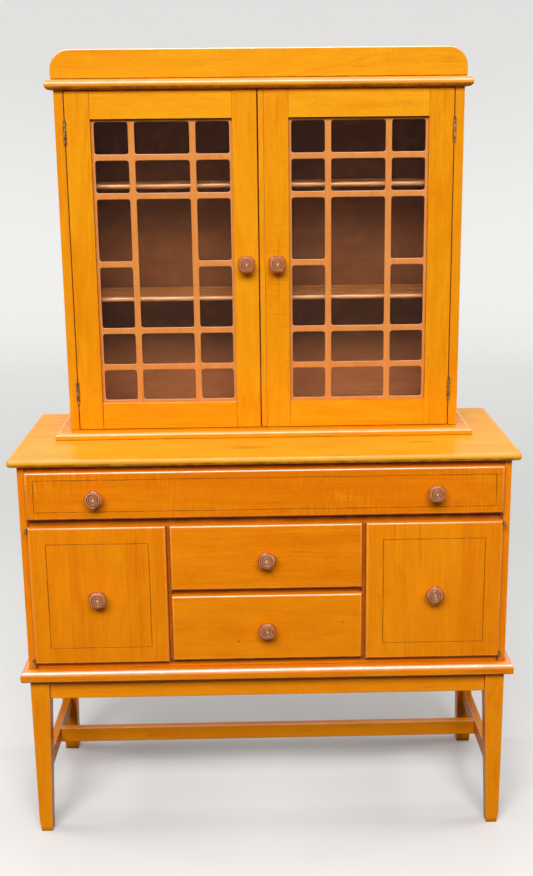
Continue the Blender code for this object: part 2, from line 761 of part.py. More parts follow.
def butt_hinge(name, side, height):
    """A ball-tipped barrel with its pin, and the leaf that is let into the case's side."""
    half = BARREL_LENGTH / 2
    ball_at = half + BALL_RADIUS * 0.8
    ball = []
    for step in range(1, 5):
        angle = step / 5 * math.pi
        ball.append((BALL_RADIUS * math.sin(angle), BALL_RADIUS * math.cos(angle)))
    profile = [(0.0, ball_at + BALL_RADIUS)]
    profile += [(r, h + ball_at) for r, h in ball]
    profile += [(BALL_NECK, half), (BARREL_RADIUS, half), (BARREL_RADIUS, -half), (BALL_NECK, -half)]
    profile += [(r, h - ball_at) for r, h in ball]
    profile += [(0.0, -ball_at - BALL_RADIUS)]
    obj = turned(name, profile, 12, (side * BUTT_AXIS_X, BUTT_AXIS_Y, height), "antique brass")
    faces = butt_leaf_span(side)
    leaf = box_helper(
        f"{name} leaf",
        (min(faces), BUTT_AXIS_Y, height - half + SEAT),
        (max(faces), UPPER_FRONT + LEAF_DEPTH, height + half - SEAT),
    )
    combine(obj, leaf, "UNION")


def upper_side(name, side):
    """A side of the top, with a shallow mortise for each hinge leaf."""
    outer = side * UPPER_HALF
    inner = side * UPPER_BAY_HALF
    obj = board(
        name,
        (min(outer, inner), UPPER_FRONT, UPPER_SIDE_LOW),
        (max(outer, inner), UPPER_BACK, UPPER_SIDE_HIGH),
        rounds=[([(side, -1, 0)], 0.0015, 2)],
    )
    for label, middle in butt_heights():
        deep = side * (UPPER_BAY_HALF + LEAF_LET_IN + MORTISE_GAP)
        clear = side * (UPPER_BAY_HALF - 0.01)
        half = BARREL_LENGTH / 2 + MORTISE_GAP
        cutter = box_helper(
            f"{name} {label} mortise",
            (min(deep, clear), UPPER_FRONT - 0.01, middle - half),
            (max(deep, clear), UPPER_FRONT + LEAF_DEPTH + MORTISE_GAP, middle + half),
        )
        combine(obj, cutter, "DIFFERENCE")


def make_upper_case():
    board(
        "plinth_board",
        (-UPPER_HALF - PLINTH_OVERHANG, UPPER_FRONT - PLINTH_OVERHANG, PLINTH_LOW),
        (UPPER_HALF + PLINTH_OVERHANG, UPPER_BACK, PLINTH_HIGH),
        rounds=nose(True, PLINTH_NOSE, 0.0015),
    )
    upper_side("upper_side_left", -1)
    upper_side("upper_side_right", 1)
    inside = UPPER_BAY_HALF - SEAT
    board(
        "upper_back",
        (-inside, UPPER_PANEL_FRONT, UPPER_SIDE_LOW),
        (inside, UPPER_BACK, UPPER_SIDE_HIGH),
        "inside maple",
    )
    for label, height in zip(("lower", "upper"), SHELF_HEIGHTS):
        top = PLINTH_HIGH + height
        board(
            f"shelf_{label}",
            (-inside, UPPER_FRONT + SHELF_SETBACK, top - SHELF_THICK),
            (inside, UPPER_PANEL_FRONT - SEAT, top),
            rounds=[([(0, -1, 1), (0, -1, -1)], SHELF_THICK * 0.4, 3)],
        )
    edges = [(0, -1, 1), (-1, 0, 1), (1, 0, 1), (0, -1, -1), (-1, 0, -1), (1, 0, -1)]
    board(
        "cornice",
        (-UPPER_HALF - CORNICE_OVERHANG, UPPER_FRONT - CORNICE_OVERHANG, CORNICE_LOW),
        (UPPER_HALF + CORNICE_OVERHANG, UPPER_BACK, CORNICE_HIGH),
        rounds=[(edges, CORNICE_THICK * 0.48, 4)],
    )
    half = UPPER_HALF + CORNICE_OVERHANG - GALLERY_INSET
    front = UPPER_FRONT - CORNICE_OVERHANG + GALLERY_INSET
    gallery = board(
        "gallery_board",
        (-half, front, GALLERY_LOW),
        (half, front + GALLERY_THICK, GALLERY_LOW + GALLERY_HEIGHT),
        rounds=[([(-1, 0, 1), (1, 0, 1)], GALLERY_CORNER, 8)],
    )
    soften(gallery, 0.0015)


def door_frame(name, side, pivot):
    """Stiles and rails as one glued frame, rebated behind for the fretwork and the glass."""
    ends = (side * GLAZED_OUTER, side * GLAZED_INNER)
    edges = [(0, -1, 1), (0, -1, -1), (-1, -1, 0), (1, -1, 0)]
    frame = board(
        name,
        (min(ends), UPPER_FRONT, GLAZED_LOW),
        (max(ends), GLAZED_BACK, GLAZED_HIGH),
        parent=pivot,
        rounds=[(edges, 0.001, 1)],
    )
    light = (side * LIGHT_OUTER, side * LIGHT_INNER)
    opening = box_helper(
        f"{name} opening",
        (min(light), UPPER_FRONT - 0.01, LIGHT_LOW),
        (max(light), GLAZED_BACK + 0.01, LIGHT_HIGH),
    )
    rebate = box_helper(
        f"{name} rebate",
        (min(light) - REBATE_WIDTH, GRILLE_FRONT - SEAT, LIGHT_LOW - REBATE_WIDTH),
        (max(light) + REBATE_WIDTH, GLAZED_BACK + 0.01, LIGHT_HIGH + REBATE_WIDTH),
    )
    combine(frame, opening, "DIFFERENCE")
    combine(frame, rebate, "DIFFERENCE")


def fretwork(name, side, pivot):
    """The pierced lattice: narrow side columns of six panes, and a middle column whose third pane is double."""
    half_width = LIGHT_HALF_WIDTH + REBATE_WIDTH - PANE_FIT
    half_height = LIGHT_HALF_HEIGHT + REBATE_WIDTH - PANE_FIT
    side_column = (UPRIGHT_OFFSET + UPRIGHT_WIDTH / 2, LIGHT_HALF_WIDTH - GRILLE_BORDER)
    middle_column = (0.0, UPRIGHT_OFFSET - UPRIGHT_WIDTH / 2)
    end = LIGHT_HALF_HEIGHT - GRILLE_BORDER
    half_bar = BAR_WIDTH / 2
    small_rows = (
        (OUTER_BAR_OFFSET + half_bar, end),
        (INNER_BAR_OFFSET + half_bar, OUTER_BAR_OFFSET - half_bar),
    )
    tall_row = (half_bar, INNER_BAR_OFFSET - half_bar)
    panes = []
    for low, high in small_rows + (tall_row,):
        for up in (-1, 1):
            z0, z1 = sorted((up * low, up * high))
            panes += [(-side_column[1], -side_column[0], z0, z1), (side_column[0], side_column[1], z0, z1)]
            if (low, high) != tall_row:
                panes.append((-middle_column[1], middle_column[1], z0, z1))
    panes.append((-middle_column[1], middle_column[1], -tall_row[1], tall_row[1]))
    outlines = [rectangle(-half_width, half_width, -half_height, half_height)]
    outlines += [rounded_rectangle(*pane, PANE_CORNER, PANE_CORNER_STEPS) for pane in panes]
    where = (side * LIGHT_MIDDLE, GRILLE_FRONT + GRILLE_THICK / 2, LIGHT_MIDDLE_Z)
    add_outline_piece(name, outlines, GRILLE_THICK, where, "fretwork", pivot)


def make_glazed_doors():
    for side, hand in ((-1, "left"), (1, "right")):
        pivot = add_pivot(f"upper_{hand}_door_hinge", (side * BUTT_AXIS_X, BUTT_AXIS_Y, GLAZED_LOW))
        door_frame(f"upper_{hand}_door_frame", side, pivot)
        fretwork(f"upper_{hand}_door_grille", side, pivot)
        half_width = LIGHT_HALF_WIDTH + REBATE_WIDTH - PANE_FIT
        half_height = LIGHT_HALF_HEIGHT + REBATE_WIDTH - PANE_FIT
        middle = side * LIGHT_MIDDLE
        board(
            f"upper_{hand}_door_glass",
            (middle - half_width, GLASS_FRONT, LIGHT_MIDDLE_Z - half_height),
            (middle + half_width, GLASS_FRONT + GLASS_THICK, LIGHT_MIDDLE_Z + half_height),
            "glass",
            parent=pivot,
        )
        knob_x = side * (GLAZED_INNER + STILE_WIDTH / 2)
        knob_z = (GLAZED_LOW + GLAZED_HIGH) / 2
        add_knob(f"upper_{hand}_door_knob", knob_x, UPPER_FRONT, knob_z, pivot)
        for label, height in butt_heights():
            butt_hinge(f"butt_hinge_{label}_{hand}", side, height)
        if side > 0:
            board(
                "astragal",
                (GLAZED_INNER - SEAT - ASTRAGAL_WIDTH, UPPER_FRONT, GLAZED_LOW),
                (GLAZED_INNER - SEAT, GLAZED_BACK, GLAZED_HIGH),
                parent=pivot,
                soft=0.001,
            )


def knob_rings():
    """The grooves' radii from the outermost in, and the half pitch to the crests beside them."""
    outer = KNOB_WIDTH / 2 - KNOB_RIM
    pitch = (outer - KNOB_BUTTON) / (KNOB_RINGS - 0.5)
    return [outer - pitch * count for count in range(KNOB_RINGS)], pitch / 2


def knob_profile():
    """(radius, height) from the foot of the stem up round the rim, and in over the rings to the button."""
    half = KNOB_WIDTH / 2
    under = KNOB_LENGTH - KNOB_HEAD
    grooves, half_pitch = knob_rings()

    def crown(radius):
        return KNOB_LENGTH - KNOB_CROWN * ((radius - KNOB_BUTTON) / (half - KNOB_BUTTON)) ** 2

    profile = [
        (KNOB_FOOT_RADIUS, 0.0),
        (KNOB_NECK_RADIUS, KNOB_FOOT_HEIGHT),
        (KNOB_NECK_RADIUS, under - KNOB_FLARE),
        (half - KNOB_EASE, under),
        (half, under + KNOB_HEAD / 3),
        (half - KNOB_EASE, crown(half) - KNOB_EASE),
        (grooves[0] + half_pitch, crown(grooves[0] + half_pitch)),
    ]
    for groove in grooves:
        profile.append((groove, crown(groove) - RING_DEPTH))
        profile.append((groove - half_pitch, crown(groove - half_pitch)))
    return profile


def shave(vert, keen_corner):
    """Flattens four sides of the turned rim, and leaves the stem and the rings round."""
    half = KNOB_WIDTH / 2
    inner = knob_rings()[0][0]
    radius = math.hypot(vert.co.x, vert.co.y)
    share = min(max((radius - inner) / (half - KNOB_EASE - inner), 0.0), 1.0)
    if share == 0.0:
        return
    angle = math.atan2(vert.co.y, vert.co.x) % math.tau
    corner = int(angle / (math.pi / 2)) % 4
    reach = KNOB_KEEN_CORNER if corner == keen_corner else KNOB_BLUNT_CORNER
    flat = half / max(abs(math.cos(angle)), abs(math.sin(angle)))
    spread = min(flat, reach) / half
    vert.co.x *= 1 + (spread - 1) * share
    vert.co.y *= 1 + (spread - 1) * share


def add_knob(name, x, y, z, parent):
    """A cushion knob, turned with rings and then shaved to a rounded square."""
    turn, keen_corner = KNOB_SHAPES[name]
    bm = bmesh.new()
    points = [bm.verts.new((radius, 0.0, height)) for radius, height in knob_profile()]
    edges = [bm.edges.new(pair) for pair in zip(points, points[1:])]
    bmesh.ops.spin(
        bm,
        geom=points + edges,
        cent=(0, 0, 0),
        axis=(0, 0, 1),
        angle=math.tau,
        steps=KNOB_SIDES,
    )
    bmesh.ops.remove_doubles(bm, verts=bm.verts, dist=1e-6)
    rims = [edge for edge in bm.edges if edge.is_boundary]
    bmesh.ops.holes_fill(bm, edges=rims)
    for vert in bm.verts:
        shave(vert, keen_corner)
    obj = add_piece(name, bm, (x, y - SEAT, z), "knob wood", parent)
    facing = Matrix.Rotation(math.pi / 2, 3, "X") @ Matrix.Rotation(math.radians(turn), 3, "Z")
    obj.rotation_euler = facing.to_euler()
    obj.data.shade_smooth()
    obj.data.set_sharp_from_angle(angle=math.radians(50))


def main():
    make_leg_frame()
    make_base_case()
    make_drawers()
    make_base_doors()
    make_upper_case()
    make_glazed_doors()


clear_scene()
PARTS = collection("hutch")
CUTTERS = collection("cutters", rendered=False)
main()
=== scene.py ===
"""A glazed maple hutch: its boards, doors, drawers, fretwork, knobs and fittings, with their finishes.

Laid out as an add-on. Each operator builds one group of pieces on the frame's bodies, in metres, with the front
facing -Y. Run as a script, it builds them all.
"""

import json
import math

import bmesh
import bpy
from bpy.props import FloatProperty, FloatVectorProperty, PointerProperty
from mathutils import Matrix, Vector, noise

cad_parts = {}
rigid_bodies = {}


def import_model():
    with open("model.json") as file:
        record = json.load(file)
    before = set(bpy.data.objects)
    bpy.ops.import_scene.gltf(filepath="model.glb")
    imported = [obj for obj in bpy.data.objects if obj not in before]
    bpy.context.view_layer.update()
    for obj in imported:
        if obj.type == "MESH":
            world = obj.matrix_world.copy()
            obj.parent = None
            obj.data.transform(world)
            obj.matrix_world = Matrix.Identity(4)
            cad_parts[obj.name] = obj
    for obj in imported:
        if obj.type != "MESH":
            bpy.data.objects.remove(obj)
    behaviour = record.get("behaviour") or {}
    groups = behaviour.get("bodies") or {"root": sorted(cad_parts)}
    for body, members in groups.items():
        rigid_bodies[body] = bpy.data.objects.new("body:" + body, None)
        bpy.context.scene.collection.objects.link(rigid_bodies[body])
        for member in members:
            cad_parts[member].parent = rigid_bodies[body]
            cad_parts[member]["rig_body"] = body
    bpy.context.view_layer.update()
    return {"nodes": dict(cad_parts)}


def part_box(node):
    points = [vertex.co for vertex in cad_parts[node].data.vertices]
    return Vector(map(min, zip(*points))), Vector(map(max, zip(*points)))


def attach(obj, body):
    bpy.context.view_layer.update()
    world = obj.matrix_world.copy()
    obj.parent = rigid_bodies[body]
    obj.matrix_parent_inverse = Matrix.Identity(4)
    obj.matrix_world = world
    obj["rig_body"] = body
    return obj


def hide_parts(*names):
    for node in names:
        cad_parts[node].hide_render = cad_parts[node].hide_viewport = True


bl_info = {
    "name": "Maple Hutch",
    "version": (1, 0, 0),
    "blender": (4, 5, 0),
    "location": "3D View > Sidebar > Hutch",
    "description": "Builds the boards, doors, drawers, knobs and finishes of a glazed maple hutch",
    "category": "Add Mesh",
}

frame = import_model()

CASE = "hutch_case"
HANDS = (("left", -1), ("right", 1))
ENDS = ("top", "bottom")
UNIT = {"X": Vector((1.0, 0.0, 0.0)), "Y": Vector((0.0, 1.0, 0.0)), "Z": Vector((0.0, 0.0, 1.0))}
SIDES = {"left": (0, 0), "right": (0, 1), "front": (1, 0), "back": (1, 1), "foot": (2, 0), "top": (2, 1)}
SLOTS = {"inside": "inside_maple", "top": "top_maple"}  # every other kind of wood is passed the slot name maple
JOINT_GAP = 0.00012  # half of the fine line where two glued members meet
TOUCH = 0.0002  # kept between two pieces that lie against each other
TINY = 1e-6  # places nearer than this are one place
BEHIND = 0.02  # how far a band of painted shade also goes back from the line where it is darkest
BARREL = 0.0032  # radius of the hinges' barrels
WANDER_SEED = 7  # so that the scribed lines wander the same way each time they are built
planks_sawn = []


def size(name, description, default):
    return FloatProperty(
        name=name, description=description, default=default, min=0.0, soft_max=1.0, precision=4, unit="LENGTH"
    )


def colour(name, description, default):
    return FloatVectorProperty(
        name=name, description=description, default=default, size=3, min=0.0, max=1.0, subtype="COLOR_GAMMA"
    )


class HutchSizes(bpy.types.PropertyGroup):
    """Shapes that the boards' outer sizes don't give"""

    edge_ease: size("Edge ease", "Rounding of every plain edge", 0.0012)
    front_round: size("Front round", "Rounding of the base's doors and drawer fronts", 0.0050)
    counter_nose: size("Counter nose", "Radius of the countertop's edge, above and below", 0.0087)
    counter_corner: size("Counter corner", "Radius of the countertop's corners seen from above", 0.007)
    waist_nose: size("Waist nose", "Upper radius of the waist moulding", 0.0125)
    waist_under: size("Waist underside", "Lower radius of the waist moulding", 0.004)
    plinth_nose: size("Plinth nose", "Upper radius of the board under the china top", 0.009)
    cornice_nose: size("Cornice nose", "Radius of the cornice, above and below", 0.0106)
    gallery_corner: size("Gallery corner", "Radius of the gallery board's upper corners", 0.042)
    shelf_nose: size("Shelf nose", "Radius of the shelves' front edges", 0.0048)
    drawer_groove: size("Drawer groove", "Inset of the line scribed on the long drawer", 0.018)
    door_groove: size("Door groove", "Inset of the line scribed on the base's doors", 0.038)
    groove_width: size("Groove width", "Width of the scribed lines", 0.0020)
    groove_depth: size("Groove depth", "Depth of the scribed lines", 0.0010)
    foot_size: size("Foot size", "Width of a leg at the floor", 0.030)
    rear_foot_width: size("Rear foot width", "Width of a rear leg at the floor, seen from the front", 0.035)
    toe_chamfer: size("Toe chamfer", "How far a front leg's outer face is cut in at the floor", 0.005)
    rear_toe_chamfer: size("Rear toe chamfer", "How far a rear leg's outer face is cut in at the floor", 0.002)
    toe_height: size("Toe height", "Height of that cut", 0.027)
    stile_width: size("Stile width", "Width of the glazed doors' stiles", 0.0535)
    top_rail_width: size("Top rail width", "Height of the glazed doors' top rails", 0.0590)
    bottom_rail_width: size("Bottom rail width", "Height of the glazed doors' bottom rails", 0.0600)
    pane_border: size("Pane border", "Fretwork shown between the frame and the outer panes", 0.006)
    upright_offset: size("Upright offset", "Fretwork uprights from the middle of the light", 0.066)
    upright_width: size("Upright width", "Width of the fretwork uprights", 0.0134)
    bar_width: size("Bar width", "Height of the fretwork bars", 0.0130)
    outer_bar: size("Outer bar offset", "Outer fretwork bars from the middle of the light", 0.2308)
    inner_bar: size("Inner bar offset", "Inner fretwork bars from the middle of the light", 0.1483)
    pane_corner: size("Pane corner", "Radius of the panes' corners", 0.0062)
    box_side: size("Drawer side", "Thickness of the drawers' sides", 0.012)
    box_bottom: size("Drawer bottom", "Thickness of the drawers' bottoms", 0.006)
    knob_width: size("Knob width", "Knobs across the flats", 0.0375)
    knob_length: size("Knob length", "How far the knobs stand out", 0.0285)


class HutchFinishes(bpy.types.PropertyGroup):
    """Colours of the wood, the metal and the stage"""

    honey_light: colour("Honey light", "Lighter figure of the base's stained maple", (0.965, 0.580, 0.035))
    honey_dark: colour("Honey dark", "Darker figure of the base's stained maple", (0.885, 0.465, 0.004))
    amber_light: colour("Amber light", "Lighter figure of the china top's maple", (0.930, 0.625, 0.070))
    amber_dark: colour("Amber dark", "Darker figure of the china top's maple", (0.870, 0.505, 0.005))
    top_light: colour("Top light", "Lighter figure of the worn countertop", (0.960, 0.690, 0.160))
    top_dark: colour("Top dark", "Darker figure of the worn countertop", (0.885, 0.565, 0.070))
    inside_light: colour("Inside light", "Lighter figure of the wood inside", (0.830, 0.535, 0.330))
    inside_dark: colour("Inside dark", "Darker figure of the wood inside", (0.660, 0.385, 0.215))
    fret_light: colour("Fretwork light", "Lighter figure of the fretwork", (0.880, 0.570, 0.300))
    fret_dark: colour("Fretwork dark", "Darker figure of the fretwork", (0.810, 0.490, 0.210))
    knob_light: colour("Knob light", "Lighter wood of the knobs", (0.790, 0.440, 0.210))
    knob_ridge: colour("Knob ridges", "Rubbed ridges of the rings on the knobs", (0.940, 0.670, 0.440))
    knob_dark: colour("Knob dark", "Darker wood of the knobs", (0.570, 0.240, 0.080))
    bare_edge: colour("Bare edge", "Wood where the finish has rubbed through", (0.950, 0.640, 0.330))
    # this colour also paints the shade under proud parts, under shelves and on undersides
    grime: colour("Grime", "Dark wax in grooves and pores", (0.280, 0.120, 0.040))
    brass_light: colour("Brass light", "Rubbed brass of the fittings", (0.760, 0.610, 0.400))
    brass_dark: colour("Brass dark", "Tarnish on the fittings", (0.380, 0.280, 0.180))
    glass: colour("Glass", "Tint of the panes", (0.940, 0.945, 0.930))
    floor: colour("Floor", "The pale sweep that the hutch stands on", (0.890, 0.888, 0.880))


def paint(key):
    """One of the finishes' colours, as the shader's linear values."""
    seen = getattr(bpy.context.scene.hutch_finishes, key)
    return [c / 12.92 if c <= 0.04045 else ((c + 0.055) / 1.055) ** 2.4 for c in seen] + [1.0]


class Nodes:
    """Adds nodes to a shader's tree and hands back what they put out."""

    def __init__(self, tree):
        self.tree = tree

    def feed(self, node, inputs):
        """Links a node's inputs to sockets, or sets them to values."""
        for key, value in inputs.items():
            if isinstance(value, bpy.types.NodeSocket):
                self.tree.links.new(value, node.inputs[key])
            else:
                node.inputs[key].default_value = value

    def add(self, kind, inputs, **settings):
        made = self.tree.nodes.new(f"ShaderNode{kind}")
        for key, value in settings.items():
            setattr(made, key, value)
        self.feed(made, inputs)
        return made.outputs

    def shade(self, inputs):
        self.feed(self.tree.nodes["Principled BSDF"], inputs)

    def maths(self, operation, first, second=0.0, third=0.0):
        return self.add("Math", {0: first, 1: second, 2: third}, operation=operation)[0]

    def plus(self, first, second):
        return self.maths("ADD", first, second)

    def less(self, first, second):
        return self.maths("SUBTRACT", first, second)

    def times(self, first, second):
        return self.maths("MULTIPLY", first, second)

    def most(self, first, second):
        return self.maths("MAXIMUM", first, second)

    def scaled(self, value, scale, start):
        """The value times scale, plus start."""
        return self.maths("MULTIPLY_ADD", value, scale, start)

    def vector(self, operation, *values):
        made = self.add("VectorMath", dict(enumerate(values)), operation=operation)
        return made["Value" if operation == "LENGTH" else 0]

    def parts(self, vector):
        return self.add("SeparateXYZ", {0: vector})

    def join(self, *parts):
        return self.add("CombineXYZ", dict(enumerate(parts)))[0]

    def mix(self, factor, first, second, blend="MIX"):
        return self.add("Mix", {0: factor, 6: first, 7: second}, data_type="RGBA", blend_type=blend)[2]

    def ramp(self, value, low, high, to_low=0.0, to_high=1.0):
        """The value from low to high as to_low to to_high, held at both ends."""
        inputs = {"Value": value, "From Min": low, "From Max": high, "To Min": to_low, "To Max": to_high}
        return self.add("MapRange", inputs, interpolation_type="SMOOTHSTEP")[0]

    def noise(self, vector, scale, detail=2.0, roughness=0.5, output="Fac"):
        inputs = {"Vector": self.vector("MULTIPLY", vector, scale), "Scale": 1.0}
        return self.add("TexNoise", inputs | {"Detail": detail, "Roughness": roughness})[output]

    def mark(self, name):
        """One of the layers that add_marks() gives a piece."""
        return self.add("Attribute", {}, attribute_name=name)["Fac"]

    def bump(self, height, strength, distance):
        return self.add("Bump", {"Height": height, "Strength": strength, "Distance": distance})[0]

    def group(self, name, build, **inputs):
        """A node group on its inputs. The first use builds it, from its input sockets to named outputs."""
        tree = bpy.data.node_groups.get(name)
        if not tree:
            tree = bpy.data.node_groups.new(name, "ShaderNodeTree")
            for title in inputs:
                kind = "NodeSocketVector" if title == "Vector" else "NodeSocketFloat"
                tree.interface.new_socket(name=title, in_out="INPUT", socket_type=kind)
            given = tree.nodes.new("NodeGroupInput").outputs
            nodes = Nodes(tree)
            made = build(nodes, *(given[title] for title in inputs))
            for title in made:
                tree.interface.new_socket(name=title, in_out="OUTPUT", socket_type="NodeSocketFloat")
            nodes.feed(tree.nodes.new("NodeGroupOutput"), made)
        return self.add("Group", inputs, node_tree=tree)


def grain(nodes, where, seed, curliness, shade, strips):
    """Maple's figure on a board centred on the origin: X runs along the grain, Y goes in from its face."""
    split = nodes.parts(where)
    # boards glued edge to edge, each cut from its own place in the tree
    across = nodes.scaled(split[2], strips, 0.5)
    key = nodes.scaled(nodes.maths("FLOOR", across), 2.7, seed)
    chance = nodes.add("TexWhiteNoise", {"W": key}, noise_dimensions="1D")
    pith = nodes.parts(chance["Color"])
    offset = nodes.join(*(nodes.times(key, pace) for pace in (1.37, 0.83, 0.59)))
    spot = nodes.vector("ADD", where, offset)
    # growth rings round a pith that lies some way behind the face and slants through the board
    drift = nodes.noise(spot, (1.8, 10.0, 10.0), output="Color")
    bent = nodes.parts(nodes.vector("MULTIPLY_ADD", drift, (0.0, 0.035, 0.035), where))
    slant = nodes.ramp(pith[2], 0.0, 1.0, -0.030, 0.030)
    deep = nodes.scaled(split[0], slant, nodes.ramp(pith[0], 0.0, 1.0, 0.05, 0.16))
    deep = nodes.plus(deep, bent[1])
    aside = nodes.plus(bent[2], nodes.ramp(pith[1], 0.0, 1.0, -0.06, 0.06))
    radius = nodes.vector("LENGTH", nodes.join(0.0, deep, aside))
    years = {"W": nodes.scaled(radius, 260.0, key), "Scale": 1.0, "Detail": 2.0, "Roughness": 0.6}
    rings = nodes.add("TexNoise", years, noise_dimensions="1D")["Fac"]
    fibres = nodes.noise(spot, (11.0, 430.0, 430.0), 3.0, 0.6)
    streaks = nodes.noise(spot, (2.5, 48.0, 48.0))
    mottle = nodes.noise(spot, (17.0, 36.0, 36.0))
    stain = nodes.noise(spot, (2.2, 5.0, 5.0))
    curl = nodes.noise(spot, (235.0, 24.0, 24.0), 1.0)
    patch = nodes.ramp(nodes.noise(spot, (4.0, 12.0, 12.0), 1.0), 0.40, 0.60)
    curl = nodes.times(nodes.times(nodes.less(curl, 0.5), patch), 3.0)
    tone = nodes.scaled(nodes.less(chance["Value"], 0.5), 0.05, shade)
    for figure, weight in ((rings, 0.60), (fibres, 0.90), (streaks, 0.62), (mottle, 0.70), (stain, 0.90)):
        tone = nodes.scaled(nodes.less(figure, 0.5), weight, tone)
    tone = nodes.scaled(curl, curliness, tone)
    tone = nodes.add("Clamp", {"Value": nodes.plus(tone, 0.5)})[0]
    # small dark flecks, a few of them larger, and the fine seams where strips are glued
    pores = nodes.ramp(nodes.noise(spot, (170.0, 900.0, 900.0), 1.0), 0.60, 0.74)
    cells = nodes.vector("MULTIPLY", spot, (14.0, 42.0, 42.0))
    flecks = nodes.add("TexVoronoi", {"Vector": cells, "Scale": 1.0})
    fleck = nodes.ramp(flecks["Distance"], 0.025, 0.075, 1.0, 0.0)
    fleck = nodes.times(fleck, nodes.ramp(nodes.parts(flecks["Color"])[0], 0.78, 0.80))
    part = nodes.maths("ABSOLUTE", nodes.less(nodes.maths("FRACT", across), 0.5))
    seam = nodes.times(nodes.ramp(part, 0.492, 0.498), nodes.ramp(streaks, 0.40, 0.60, 0.2, 0.9))
    dots = nodes.most(nodes.most(pores, seam), fleck)
    mineral = nodes.ramp(nodes.noise(spot, (8.0, 95.0, 95.0)), 0.63, 0.74)
    ripple = nodes.noise(spot, (6.0, 14.0, 14.0), 1.0)
    relief = nodes.scaled(fibres, 0.30, nodes.times(ripple, 1.8))
    return {"Tone": tone, "Pores": dots, "Streaks": mineral, "Relief": nodes.scaled(dots, -0.4, relief)}


def rub_and_shade(nodes, where, amount):
    """Where edges are rubbed bare or polished, where wax has gathered, and where shade is painted, from the marks on
    the piece's faces.
    """
    breaks = nodes.noise(where, (38.0, 60.0, 60.0), 4.0, 0.65)
    start = nodes.less(0.78, nodes.times(amount, 0.42))
    bare = nodes.times(nodes.mark("worn"), nodes.ramp(breaks, start, nodes.plus(start, 0.12)))
    polish = nodes.times(nodes.mark("polish"), nodes.ramp(breaks, 0.30, 0.60, 1.0, 0.75))
    blotching = nodes.noise(where, (40.0, 40.0, 40.0), 3.0, 0.6)
    grime = nodes.times(nodes.mark("grime"), nodes.ramp(blotching, 0.32, 0.66, 0.45, 1.0))
    # painted shade from the darkened bands, given out together with the wax and the undersides' painted shade
    dusk = nodes.times(nodes.mark("dusk"), nodes.ramp(blotching, 0.25, 0.60, 0.75, 1.0))
    return {"Bare": bare, "Polish": polish, "Grime": nodes.most(grime, dusk)}


def start_material(name):
    """A new material, what adds its nodes, and the place on the piece."""
    material = bpy.data.materials.new(name)
    material.use_nodes = True
    nodes = Nodes(material.node_tree)
    return material, nodes, nodes.add("TexCoord", {})["Object"]


def wood(
    name, kind, box, along, facing=None, curl=0.05, rubbed=0.5, gloss=0.27, strips=0.0, shade=0.0, shine=0.09, stains=()
):
    """Lacquered wood of one kind for a board in this box. along is its grain's axis, facing its broad face's, and
    strips how many strips to a metre it is glued up from. No two boards share a piece of the pattern. stains lists
    (middle, reach along each axis, strength)."""
    planks_sawn.append(name)
    count = len(planks_sawn)
    material, nodes, place = start_material(name)
    first, second = UNIT[along], UNIT[facing or ("X" if along == "Y" else "Y")]
    turn = Matrix((first, second, first.cross(second)))
    centre = turn @ ((Vector(box[0]) + Vector(box[1])) / -2)
    where = nodes.add("Mapping", {"Vector": place, "Location": centre, "Rotation": turn.to_euler()})[0]
    shade += ((count * 0.618) % 1.0 - 0.5) * 0.14
    figure = nodes.group("Maple grain", grain, Vector=where, Seed=count * 1.7, Curl=curl, Shade=shade, Strips=strips)
    edges = nodes.group("Rubbed edges", rub_and_shade, Vector=place, Amount=rubbed)
    tone, grime = figure["Tone"], paint("grime")
    base = nodes.mix(tone, paint(f"{kind}_dark"), paint(f"{kind}_light"))
    base = nodes.mix(nodes.times(figure["Streaks"], 0.36), base, (0.74, 0.56, 0.42, 1.0), "MULTIPLY")
    base = nodes.mix(nodes.times(figure["Pores"], 0.26), base, grime)
    for middle, reach, strength in stains:
        offset = nodes.vector("SUBTRACT", place, middle)
        offset = nodes.vector("MULTIPLY", offset, tuple(1.0 / length for length in reach))
        offset = nodes.scaled(nodes.less(tone, 0.5), 0.9, nodes.vector("LENGTH", offset))
        base = nodes.mix(nodes.ramp(offset, 0.35, 1.05, strength, 0.0), base, grime)
    base = nodes.mix(nodes.times(edges["Bare"], 0.6), base, paint("bare_edge"))
    # the grime colour here paints both the wax and the painted shade under proud parts and on undersides
    base = nodes.mix(nodes.times(edges["Grime"], 0.88), base, grime)
    roughness = nodes.scaled(edges["Bare"], 0.12, nodes.ramp(tone, 0.0, 1.0, gloss + 0.08, gloss))
    nodes.shade({"Base Color": base, "Roughness": roughness, "Normal": nodes.bump(figure["Relief"], 0.35, 0.0005)})
    nodes.shade({"Coat Weight": edges["Polish"], "Coat Roughness": 0.36, "Coat IOR": 2.6, "Specular IOR Level": shine})
    return material


def knob_wood(name):
    """Reddish wood, polished by hands on its ridges and dark in its rings."""
    planks_sawn.append(name)
    count = len(planks_sawn)
    material, nodes, place = start_material(name)
    shift = ((count * 1.37) % 7.0, (count * 0.83) % 5.0, (count * 0.59) % 4.0)
    where = nodes.add("Mapping", {"Vector": place, "Location": shift, "Rotation": (0.4, 0.3 * count, 0.2)})[0]
    fibres = nodes.noise(where, (60.0, 700.0, 700.0), 4.0, 0.6)
    blotch = nodes.noise(where, (90.0, 90.0, 90.0), 3.0, 0.55)
    tone = nodes.ramp(nodes.scaled(fibres, 0.6, nodes.times(blotch, 0.7)), 0.35, 0.95)
    carved = nodes.mark("carved")
    ridge = nodes.times(nodes.mark("face"), nodes.ramp(carved, 0.05, 0.35, 0.75, 0.0))
    base = nodes.mix(ridge, nodes.mix(tone, paint("knob_dark"), paint("knob_light")), paint("knob_ridge"))
    base = nodes.mix(nodes.times(carved, 0.95), base, paint("grime"))
    roughness = nodes.ramp(tone, 0.0, 1.0, 0.40, 0.26)
    nodes.shade({"Base Color": base, "Roughness": roughness, "Normal": nodes.bump(fibres, 0.3, 0.0003)})
    nodes.shade({"Specular IOR Level": 0.2, "Coat Weight": 0.4, "Coat Roughness": 0.22})
    return material


